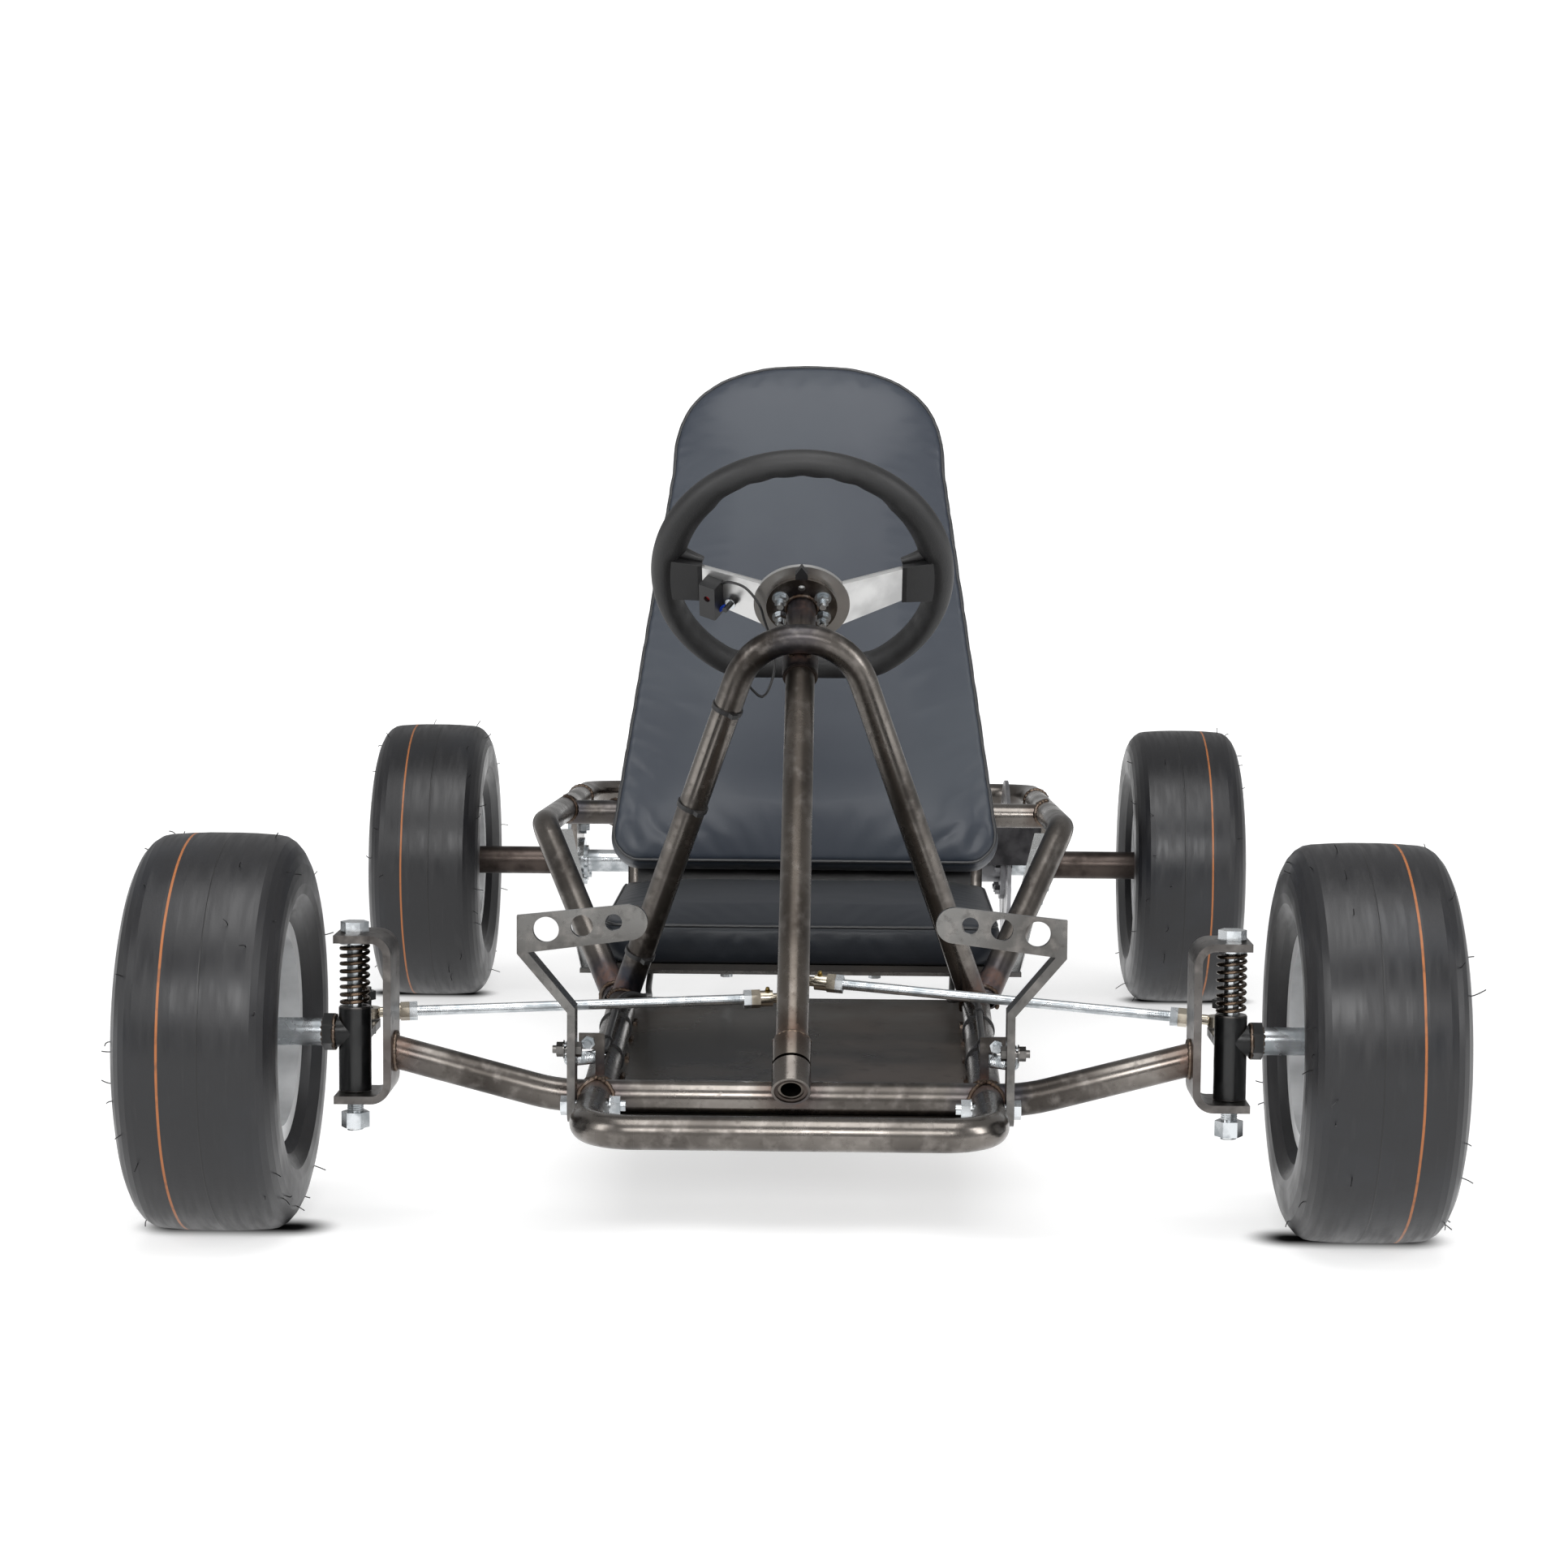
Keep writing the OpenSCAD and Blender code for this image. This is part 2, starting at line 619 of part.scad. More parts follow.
// Mechanical brake: a block astride the disc, two pads in it and a lever on its inner face
cal_in = disc_x - 22;
cal_out = hanger_x - hanger_t / 2 - weld_gap;
cal_slot = disc_t / 2 + 1.6;
pad_x = disc_t / 2 + 0.35;
module caliper_bolts(d, x0, x1) { for (e = [-1, 1]) along_x(x0, x1, caliper_y + e * 20, caliper_z + 12, d); }
module brake_caliper() {
    color("#3c3b3d") place() difference() {
        translate([cal_in, caliper_y - 30, caliper_z - 23]) cube([cal_out - cal_in, 60, 44]);
        along_x(disc_x - cal_slot, disc_x + cal_slot, wheelbase, axle_z, disc_d + 6);
        along_x(cal_in + 5, cal_out - 6, caliper_y, caliper_z - 2, 30.2);
        along_x(cal_in - 1, cal_in + 6, caliper_y, caliper_z - 2, 10 + 2 * slip);
        caliper_bolts(8.1, disc_x + 8, cal_out + 1);
    }
    color("#55504a") place() for (e = [-1, 1])
        along_x(disc_x + e * pad_x, disc_x + e * (pad_x + 9), caliper_y, caliper_z - 2, 30);
}
module brake_lever() {
    tip = [cal_in - 5, caliper_y, caliper_z - 2 + lever_r];
    color(zinc) place() {
        difference() {
            union() {
                along_x(cal_in - 5, cal_in - 0.3, caliper_y, caliper_z - 2, 20);
                translate([cal_in - 5, caliper_y - 8, caliper_z - 2]) cube([4, 16, lever_r]);
                along_x(cal_in - 5, cal_in - 1, caliper_y, caliper_z - 2 + lever_r, 16);
                along_x(cal_in - 5, cal_in + 4.6, caliper_y, caliper_z - 2, 10);
            }
            translate([-1, 0, 0]) along_x(tip.x, tip.x + 8, tip.y, tip.z, 6.2);
        }
        along_x(tip.x - 8, tip.x + 5, tip.y, tip.z, 6);
    }
}

// Fasteners
module kingpin_bolts() {
    head_z = bracket_hi + weld_gap;
    color(zinc) place() both() translate([kingpin_x, 0, 0]) {
        translate([0, 0, head_z]) mirror([0, 0, 1]) bolt(kingpin_d, head_z - nut_z + 1, 19, head_h);
        translate([0, 0, nut_z]) nut(19, nut_h, kingpin_d + 0.1);
        translate([0, 0, spring_hi]) washer(24, kingpin_d + 0.2, cap_t - weld_gap);
    }
}
pivot_in = rail_x - tube_r - 1;
pivot_out = strap_x + pedal_t + seat_gap;
module pedal_pivot_bolts() {
    color(zinc) place() both() {
        translate([pivot_out, pedal_y, frame_z]) rotate([0, -90, 0]) bolt(pivot_d, pivot_out - pivot_in + 11, 13, 5.3);
        translate([pivot_in - 7, pedal_y, frame_z]) rotate([0, 90, 0]) nut(13, 7, pivot_d + 0.1);
        translate([pivot_in - 0.4 + 0.5, pedal_y, frame_z]) rotate([0, 90, 0]) washer(16, pivot_d + 0.2, 0.8);
    }
}
module frame_bolts() {
    color(zinc) place() {
        for (y = [bar_front_y, bar_rear_y]) both() {
            translate([bar_bolt_x(y), y, bar_z + bar_t + weld_gap]) mirror([0, 0, 1]) bolt(6, 22, 10, 4);
            translate([70, y, bar_z - weld_gap]) bolt(6, 10, 10, 4);
        }
        both() translate([hanger_x + hanger_t / 2 + 3.1, wheelbase, axle_z]) for (a = [90:120:330])
            translate([0, 38 * cos(a), 38 * sin(a)]) rotate([0, -90, 0]) {
                bolt(8, 19, 13, 5.3);
                translate([0, 0, 3.1 + hanger_t + 0.1]) nut(13, 6.5, 8.1);
            }
        for (b = back_bolts, s = [left, right])
            on_back(frame_off + frame_d / 2 + 0.1) translate([s * b.x, b.y, 0]) bolt(6, frame_d + 7, 10, 4);
        for (e = [-1, 1]) translate([hanger_x + hanger_t / 2 + 0.1, caliper_y + e * 20, caliper_z + 12])
            rotate([0, -90, 0]) bolt(8, 26, 13, 5.3);
    }
}

// Cables clipped along the frame, and the switch wire down the hoop
stop_up = stop_z - cable_z;
cable_front = [for (p = [[8, 18, stop_up], [8, 40, stop_up - 1], [5, 84, 7], [0, 120, 0], [0, 200, 0], [0, 290, 0], [0, 360, 0],
    [-8, 392, 2], [-20, 418, -4]]) [rail_at(p[1]) + p[0], p[1], cable_z + p[2]]];
throttle_route = concat(cable_front, [[139, 440, 114], [138, 480, 108], [142, 540, 106], [146, 640, 106],
    [148, 720, 106], [148, 800, 106], [146, 860, 104], [144, 905, 112], [138, 940, 140], [132, 975, 175],
    [130, 1010, 205]]);
function near(f) = 900 + (caliper_y - 900) * f;
// The sheath stops in front of the lever's full swing
lever_swing = 21.1;
lever_front = caliper_y - lever_r * sin(lever_swing) - 8 - 2.8;
brake_route = concat(cable_front, [[139, 440, 114], [138, 480, 108], [142, 540, 106], [146, 640, 106],
    [148, 720, 106], [148, 800, 106], [147, 860, 104], [148, near(0), 112], [153, near(0.17), 138],
    [170, near(0.353), 160], [190, near(0.49), 190], [198, near(0.662), 216],
    [198, lever_front - 15, 226.5], [197.5, lever_front, 229]]);
// The switch wire lies along the hoop's right leg
leg_u = unit(hoop_corner - flip(hoop_foot, right));
wire_d = 2.4;
wire_side = unit(cross(leg_u, [0.92, 0.39, 0]));
wire_off = wire_side * (tube_r + wire_d / 2 + seat_gap);
function along_leg(k, d) = flip(hoop_foot, right) * (1 - k) + hoop_corner * k + d;
module control_cables() {
    color(black) place() {
        at_side(right) sweep(throttle_route, cable_d, 8, [1, 0, 0]);
        sweep(brake_route, cable_d, 8, [1, 0, 0]);
        sweep([for (k = [0.08:0.08:0.65]) along_leg(k, wire_off)], wire_d, 6, [1, 0, 0]);
    }
}
// A tie is a thin band round the tube, with a bulge over what it holds
module tie(at, dir, off, held) {
    h = norm([dir.x, dir.y]);
    x = off * [dir.z * dir.x / h, dir.z * dir.y / h, -h];
    y = off * [-dir.y / h, dir.x / h, 0];
    orient(at, at + dir) linear_extrude(4) difference() {
        union() {
            circle(d = tube_d + 3);
            translate([x, y]) circle(d = held + 3);
            translate([-x, -y]) square([7, 7], center = true);
        }
        circle(d = tube_d + 2 * weld_gap);
        translate([x, y]) circle(d = held + 0.1);
    }
}
tie_marks = [0.1, 0.405, 0.6];
module cable_ties() {
    rail_u = unit(rail_pts[1] - rail_pts[0]);
    color(black) place() {
        for (k = tie_marks) tie(along_leg(k, [0, 0, 0]), leg_u, wire_off, wire_d);
        both() for (y = rail_ties)
            tie([rail_at(y), y, frame_z], rail_u, [0, 0, cable_z - frame_z], cable_d);
    }
}

module kingpin_spring(s) {
    h = spring_hi - spring_lo - spring_wire - 0.4;
    color("#4d4138") place() at_side(s) translate([kingpin_x, 0, spring_lo + spring_wire / 2 + 0.2])
        sweep(coil((spring_d - spring_wire) / 2, 8, h), spring_wire, 6, [0, 0, 1]);
}
// Return spring hooked through the strap and the rail tab, and the bare end of the cable
module pedal_return(s) {
    wire = 1.6;
    a = [strap_x + pedal_t / 2, -22, hook_z];
    b = [tab_x + 6, tab_y - 16, tab_z + 1];
    n = 14;
    u = unit(b - a);
    side = unit(cross(u, [0, 0, 1]));
    up = cross(side, u);
    turns = [for (i = [0:n * 8]) let(t = 360 * i / 8)
        a + (b - a) * i / (n * 8) + 4.6 * (cos(t) * side + sin(t) * up)];
    hook_x = strap_x + pedal_t + wire / 2 + 0.2;
    color(zinc) place() at_side(s) {
        sweep(concat([[strap_x - 2, hook_y + 0.9, hook_z], [hook_x - 1, hook_y + 0.9, hook_z],
            [hook_x, hook_y + 2, hook_z], [hook_x, -25, hook_z]], turns,
            [[tab_x + 4.6, tab_y - 9, tab_z + 0.5], [tab_x + 4.2, tab_y - 2, tab_z],
            [tab_x + 3.2, tab_y - 0.9, tab_z], [tab_x - 2, tab_y - 0.9, tab_z]]), wire, 6, [0.1, 0.2, 1]);
        x = strap_x + pedal_t + 1.9;
        sweep([[x, pedal_y - 6, clamp_z + 3.95], [x, pedal_y + 9, clamp_z + 3.95],
            [rail_at(0) + 8, stop_y - 4.5, stop_z]], wire, 6, [0, 0, 1]);
    }
}
module thrust_washer(s) {
    color(steel) place() at_side(s) translate([kingpin_x, 0, barrel_hi + 0.02])
        washer(spring_d, kingpin_d + 0.2, washer_t - 0.04);
}

// Steering
collar_groove = 2.6;
module steering_shaft() {
    color(steel) place() {
        difference() {
            union() {
                on_column(2) cylinder(h = 30, d = spigot_d);
                on_column(24 + collar_groove) cylinder(h = 25.8 - collar_groove, d = collar_d);
                on_column(30) cylinder(h = hub_s - 30 + hub_t / 2, d = tube_d);
                on_column(hub_s) cylinder(h = hub_t, d = hub_d);
            }
            on_column(-1) cylinder(h = 60, d = spigot_d - 4);
            on_column(50) cylinder(h = hub_s, d = tube_d - 2 * tube_wall);
            on_column(hub_s - 1) for (a = [30:60:330]) rotate([0, 0, a]) translate([hub_pcd / 2, 0, 0])
                cylinder(h = hub_t + 2, d = 6.4);
        }
    }
}
hub_pcd = 43.6;
pitman_w = 20;
module pitman_arm() {
    color(steel) place() on_column(pitman_s - pitman_t / 2) linear_extrude(pitman_t) difference() {
        union() {
            translate([-pitman_w / 2, 0]) square([pitman_w, pitman_r]);
            translate([0, pitman_r]) circle(d = pitman_w);
        }
        circle(d = tube_d + 2 * weld_gap);
        translate([0, pitman_r]) circle(d = pivot_d + 0.2);
    }
    // Spacers, and the bolt and nut through both rod ends
    run = pitman_t + 2 * spacer_t + 2 * ball_h + 4 * seat_gap;
    color(zinc) place() on_column(pitman_s) for (e = [0, 1]) mirror([0, 0, e])
        translate([0, pitman_r, pitman_t / 2 + 0.1]) washer(13.5, pivot_d + 0.2, spacer_t - 0.2);
    color(zinc) place() on_column(pitman_s - run / 2) translate([0, pitman_r, 0]) {
        bolt(pivot_d, run + 10, 13, 5.3);
        translate([0, 0, run]) nut(13, 7, pivot_d + 0.1);
    }
}
boot_in = 92;
boot_out = wheel_d / 2 - grip_d + 4;
spoke_t = 3.5;
spoke_rise = dish - spoke_t - 4;
spoke_fall = spoke_rise / (boot_out - 8 - 34);
spoke_tilt = atan(spoke_fall);
spoke_top = (spoke_t + 4 * spoke_fall) * cos(spoke_tilt);
earth_at = [-62, 8];
module spoke_plate() {
    color(alloy) place() on_column(hub_s + hub_t + weld_gap) difference() {
        union() {
            cylinder(h = spoke_t, d = 86);
            for (s = [left, right])
                hull() {
                    translate([s * 34 - 2, -23, 0]) cube([4, 46, spoke_t]);
                    translate([s * (boot_out - 8) - 2, -16, spoke_rise]) cube([4, 32, spoke_t]);
                }
        }
        translate([0, 0, -1]) for (a = [30:60:330]) rotate([0, 0, a]) translate([hub_pcd / 2, 0, 0])
            cylinder(h = 8, d = 6.4);
        translate([0, 0, -1]) cylinder(h = 8, d = 20);
        translate([-78, 2, -1]) cylinder(h = 60, d = 9);
        translate([earth_at.x, earth_at.y, spoke_z(earth_at.x)]) rotate([0, spoke_tilt, 0])
            cylinder(h = 30, d = 5.4, center = true);
    }
}
// The rim: a long arc, two corner bends and a flat foot
rim_r = (wheel_d - grip_d) / 2;
rim_flat = rim_r - 17;
rim_corner = 40;
rim_cx = sqrt(pow(rim_r - rim_corner, 2) - pow(rim_flat - rim_corner, 2));
rim_ca = atan2(rim_flat - rim_corner, rim_cx);
module steering_rim() {
    lap = 0.15;
    color(black) place() on_column(rim_s) {
        for (k = [0, 1]) rotate([0, 0, 180 - rim_ca - lap + k * (90 + rim_ca + lap)])
            rotate_extrude(angle = 90 + rim_ca + lap) translate([rim_r, 0]) circle(d = grip_d - k * 0.04);
        for (s = [left, right]) at_side(s) translate([rim_cx, rim_flat - rim_corner, 0])
            rotate([0, 0, rim_ca]) rotate_extrude(angle = 90 - rim_ca)
                translate([rim_corner, 0]) circle(d = grip_d + 0.04);
        translate([-rim_cx - lap, rim_flat, 0]) rotate([0, 90, 0])
            cylinder(h = 2 * (rim_cx + lap), d = grip_d);
    }
}
module spoke_boots() {
    color("#242325") place() difference() {
        on_column(hub_s + hub_t) for (s = [left, right]) difference() {
            hull() {
                translate([s * boot_in - 2, -20, spoke_rise - 11]) cube([4, 40, 15]);
                translate([s * (boot_out + 4) - 2, -22, spoke_rise - 7]) cube([4, 44, 20]);
            }
            hull() {
                translate([s * 34 - 2, -23.1, -0.1]) cube([4, 46.2, spoke_t + 0.2]);
                translate([s * (boot_out - 8) - 2, -16.1, spoke_rise - 0.1]) cube([4.1, 32.2, spoke_t + 0.2]);
            }
        }
        on_column(rim_s) rotate_extrude() translate([rim_r, 0]) circle(d = grip_d + 0.1);
    }
}
module hub_bolts() {
    color(zinc) place() on_column(hub_s) for (a = [30, 150, 210, 330]) rotate([0, 0, a])
        translate([hub_pcd / 2, 0, hub_t + spoke_t + 0.1]) mirror([0, 0, 1]) {
            bolt(6, hub_t + spoke_t + 14, 10, 4);
            translate([0, 0, hub_t + spoke_t + 0.2]) washer(15, 6.2, 1.2);
            translate([0, 0, hub_t + spoke_t + 1.6]) nut(10, 6, 6.1);
        }
}
module hub_pointer() {
    color(black) place() on_column(hub_s - 2) linear_extrude(hub_t + 1.9)
        polygon([[-5.5, -33], [5.5, -33], [5.5, -38], [0, -47], [-5.5, -38]]);
}
// Local frame of the kill switch, on the front face of the left spoke
switch_at = [-78, 2];
function spoke_z(x) = spoke_fall * (abs(x) - 36);
module on_switch() {
    on_column(hub_s + hub_t + spoke_z(switch_at.x)) translate([switch_at.x, switch_at.y, 0])
        rotate([0, spoke_tilt, 0]) children();
}
module kill_switch() {
    color(black) place() difference() {
        on_switch() translate([-8, -14, -15.5]) cube([16, 36, 15.3]);
        on_switch() translate([0, 0, -20]) cylinder(h = 40, d = 6 + 2 * slip);
    }
    color(zinc) place() on_column(hub_s + hub_t + weld_gap + spoke_z(earth_at.x))
        translate([earth_at.x, earth_at.y, 0]) rotate([0, spoke_tilt, 0])
            translate([0, 0, spoke_top + 0.1]) mirror([0, 0, 1]) {
                bolt(5, 20, 8, 3.5);
                translate([0, 0, spoke_top + 0.2]) nut(8, 4, 5.1);
            }
}
module kill_button() {
    color("#b3262a") place() on_switch() {
        translate([0, 0, -12]) cylinder(h = 20.4, d = 6);
        translate([0, 0, 8.4]) cylinder(h = 4, d = 12);
    }
}

// Tie rods: the inner rod ends share the pitman bolt, one on each side of the arm
function ball_at(s) = col_low + axis_dir * (pitman_s + s * ball_off) - axis_up * pitman_r;
function eye_at(s) = [s * kingpin_x, arm_r, eye_z];
module rod_ball(s) {
    color("#b9a77a") place() translate(ball_at(s)) rotate([column_slope - 90, 0, 0]) difference() {
        intersection() { sphere(d = 15); cylinder(h = ball_h, d = 20, center = true); }
        cylinder(h = 20, d = pivot_d + 2 * slip, center = true);
    }
}
module tie_rod(s) {
    a = ball_at(s);
    b = eye_at(s);
    u = unit(b - a);
    neck = 17;
    color("#c5bda6") place() {
        difference() {
            union() {
                translate(a) rotate([column_slope - 90, 0, 0]) cylinder(h = 7.4, d = eye_d, center = true);
                rod(a + u * 8, a + u * neck, 8);
                rod(a + u * neck, a + u * 27, 13);
                orient(a + u * 26.9, b) hex(13, 7.1);
            }
            translate(a) sphere(d = 15 + 2 * slip);
            rod(a + u * 20, a + u * 60, tie_d + 0.1);
        }
        difference() {
            union() {
                translate(b) cylinder(h = eye_h, d = eye_d, center = true);
                rod(b - u * neck, b - u * 9, 8);
                rod(b - u * 27, b - u * neck, 13);
                orient(b - u * 26.9, a) hex(13, 7.1);
            }
            translate(b) cylinder(h = 30, d = pivot_d + 2.8, center = true);
            rod(b - u * 60, b - u * 20, tie_d + 0.1);
        }
    }
    color(zinc) place() {
        rod(a + u * 20.1, b - u * 20.1, tie_d);
        for (e = [0, 1]) let(p = e == 0 ? a + u * 34.1 : b - u * 40.1)
            orient(p, p + u) nut(13, 6, tie_d + 0.1);
    }
}

// Spindle: barrel on the kingpin, arm to the rear, hexagon and stub axle to the outside
hex_x = kingpin_x + barrel_d / 2 + 2.5;
stub_end = wheel_x + 36;
hub_half = 30;
module spindle(s) {
    color(black) place() at_side(s) difference() {
        union() {
            translate([kingpin_x, 0, barrel_lo]) cylinder(h = barrel_h, d = barrel_d);
            translate([kingpin_x - 11, 0, arm_z]) cube([22, arm_r, arm_t]);
            translate([kingpin_x, arm_r, arm_z]) cylinder(h = arm_t, d = 22);
            translate([hex_x + 0, 0, axle_z]) rotate([0, 90, 0]) hex(25, 9);
            translate([kingpin_x, 0, axle_z]) rotate([0, 90, 0])
                cylinder(h = barrel_d / 2 + 4, r1 = 12.4, r2 = 11.5);
            along_x(hex_x, stub_end, 0, axle_z, stub_d);
        }
        translate([kingpin_x, 0, 0]) cylinder(h = 400, d = kingpin_d + 2 * slip);
        translate([kingpin_x, arm_r, 0]) cylinder(h = 400, d = pivot_d + 0.1);
    }
    color(zinc) place() at_side(s) {
        // Spacer sleeve, axle nut, arm bolt and nut
        difference() {
            along_x(hex_x + 9.1, wheel_x - hub_half - 0.3, 0, axle_z, 21.5);
            along_x(hex_x, stub_end, 0, axle_z, stub_d + 0.1);
        }
        translate([wheel_x + hub_half - 9.7, 0, axle_z]) rotate([0, 90, 0]) nut(24, 12, stub_d + 0.1);
        translate([kingpin_x, arm_r, arm_z - 0.1]) bolt(pivot_d, eye_z - arm_z + eye_h / 2 + eye_lift + 10, 13, 5.3);
        translate([kingpin_x, arm_r, eye_z + eye_h / 2 + eye_lift]) nut(13, 7, pivot_d + 0.1);
    }
}

// Wheels. A section is drawn as [radius, distance towards the outside] and turned about X
rim_half = rim_w / 2;
flange_r = flange_d / 2;
bead_r = flange_r - 10;
well_r = bead_r - 10;
rim_t = 3;
module spin_x(x, y) { translate([x, y, axle_z]) rotate([0, 90, 0]) rotate_extrude($fn = 96) children(); }
module rim_section(bore, lo, hi) {
    union() {
        polygon([[bore, lo], [24, lo], [24, 6], [well_r - rim_t, 20], [well_r - rim_t, -22],
            [bead_r - rim_t, -28], [bead_r - rim_t, -rim_half], [flange_r, -rim_half],
            [flange_r, rim_t - rim_half], [bead_r, 5 - rim_half], [bead_r, -26], [well_r, -20],
            [well_r, 20], [bead_r, 26], [bead_r, rim_half - 5], [flange_r, rim_half - rim_t],
            [flange_r, rim_half], [bead_r - rim_t, rim_half], [bead_r - rim_t, 28],
            [well_r - rim_t, 25], [26, 11], [24, hi], [bore, hi]]);
    }
}
module rim(x, y, bore, lo, hi) {
    difference() {
        spin_x(x, y) rim_section(bore, lo, hi);
        for (a = [45:90:315])
            translate([x, y, axle_z]) rotate([a, 0, 0]) translate([-5, 0, 43]) rotate([0, 90, 0])
                cylinder(h = 40, d = 12);
    }
}
tread_r = tyre_d / 2;
tyre_half = tyre_w / 2;
tyre_wall = 6;
function mirrored(p) = [for (i = [len(p) - 1:-1:0]) [p[i].x, -p[i].y]];
tyre_out = concat(
    [[bead_r + 0.05, rim_half - 5.3], [flange_r + 0.4, rim_half - 3.3], [flange_r + 2.4, rim_half - 0.5],
        [flange_r + 8, tyre_half - 8],
        [flange_r + 20, tyre_half - 1.2], [flange_r + 28, tyre_half]],
    [for (k = [0:6]) let(a = 90 * k / 6) [tread_r - 31.5 + 30 * sin(a), tyre_half - 20 + 20 * cos(a)]],
    [[tread_r - 0.4, tyre_half - 36], [tread_r, 12]]);
tyre_in = [[tread_r - tyre_wall, 8], [tread_r - tyre_wall - 1, tyre_half - 26],
    [tread_r - 24, tyre_half - tyre_wall], [flange_r + 14, tyre_half - tyre_wall - 1],
    [bead_r + 8, rim_half - 12], [bead_r + 0.05, rim_half - 14]];
module tyre(x, y) {
    spin_x(x, y) polygon(concat(tyre_out, mirrored(tyre_out), mirrored(tyre_in), tyre_in));
}
module front_rim(s) {
    color(alloy) place() at_side(s) {
        rim(wheel_x, 0, 13.2, -hub_half, 18);
        // Wheel bearings, one in each end of the hub
        for (e = [-hub_half, 8]) translate([wheel_x + e + 0.1, 0, axle_z]) rotate([0, 90, 0])
            washer(26.3, stub_d + 2 * slip, 9.8);
    }
}
module front_tyre(s) { color(black) place() at_side(s) tyre(wheel_x, 0); }
module rear_rims() { color(alloy) place() both() rim(rear_x, wheelbase, axle_d / 2 + 0.02, -hub_half, 18); }
module rear_tyres() { color(black) place() both() tyre(rear_x, wheelbase); }

module rear_axle() {
    end = rear_x + 34;
    color(zinc) place() {
        along_x(-end, end, wheelbase, axle_z, axle_d);
        both() translate([rear_x + 18.2, wheelbase, axle_z]) rotate([0, 90, 0]) nut(30, 12, axle_d + 0.1);
        // Inner rings of the bearings, with their locking collars
        both() translate([hanger_x - 12, wheelbase, axle_z]) rotate([0, 90, 0]) {
            washer(ring_d - 2 * slip, axle_d + 0.1, 24);
        }
    }
    color("#3a3533") place() both() translate([hanger_x + 12.1, wheelbase, axle_z]) rotate([0, 90, 0])
        washer(sleeve_d, axle_d + 0.1, rear_x - hub_half - hanger_x - 12.3);
}
pitch_r = chain_pitch / 2 / sin(180 / teeth);
tip_r = pitch_r + 3;
root_r = pitch_r - 2.6;
function tooth(k) = let(a = 360 / teeth) [for (p = [[root_r, 0.16], [pitch_r, 0.3], [tip_r, 0.42],
    [tip_r, 0.58], [pitch_r, 0.7], [root_r, 0.84]]) p[0] * [cos(a * (k + p[1])), sin(a * (k + p[1]))]];
module carrier(x) {
    translate([x, wheelbase, axle_z]) rotate([0, 90, 0]) difference() {
        union() { cylinder(h = 5, d = 78); cylinder(h = 30, d = 40); }
        translate([0, 0, -1]) cylinder(h = 40, d = axle_d + 0.1);
        for (a = [30:60:330]) rotate([0, 0, a]) translate([31, 0, -1]) cylinder(h = 8, d = 6.4);
        translate([-1.2, 0, -1]) cube([2.4, 40, 40]);
        translate([-30, 16.6, 18]) rotate([0, 90, 0]) cylinder(h = 60, d = 5);
    }
}
module carrier_bolts(x, t) {
    translate([x - t - 0.1, wheelbase, axle_z]) rotate([0, 90, 0]) for (a = [30:60:330])
        rotate([0, 0, a]) translate([31, 0, 0]) {
            bolt(6, t + 11.5, 10, 4);
            translate([0, 0, t + 5.2]) nut(10, 5, 6.1);
        }
}
module sprocket() {
    color("#8f8f92") place() translate([sprocket_x - 4, wheelbase, axle_z]) rotate([0, 90, 0])
        linear_extrude(3.9) difference() {
            polygon([for (k = [0:teeth - 1]) each tooth(k)]);
            circle(d = 52);
            for (a = [30:60:330]) rotate([0, 0, a]) translate([31, 0]) circle(d = 6.4);
            for (a = [0:60:300]) rotate([0, 0, a]) translate([55, 0]) circle(d = 28);
        }
    color("#a9a9a8") place() { carrier(sprocket_x); carrier_bolts(sprocket_x, 4); }
}
module brake_disc() {
    color("#8f8f92") place() translate([disc_x - disc_t / 2, wheelbase, axle_z]) rotate([0, 90, 0])
        linear_extrude(disc_t) difference() {
            circle(d = disc_d, $fn = 96);
            circle(d = 52);
            for (a = [30:60:330]) rotate([0, 0, a]) translate([31, 0]) circle(d = 6.4);
            for (a = [0:30:330]) rotate([0, 0, a]) translate([54 + 22 * (a / 30 % 2), 0]) circle(d = 9);
        }
    color("#a9a9a8") place() mirror([1, 0, 0]) {
        carrier(-disc_x + disc_t / 2 + 0.1);
        carrier_bolts(-disc_x + disc_t / 2 + 0.1, disc_t + 0.1);
    }
}

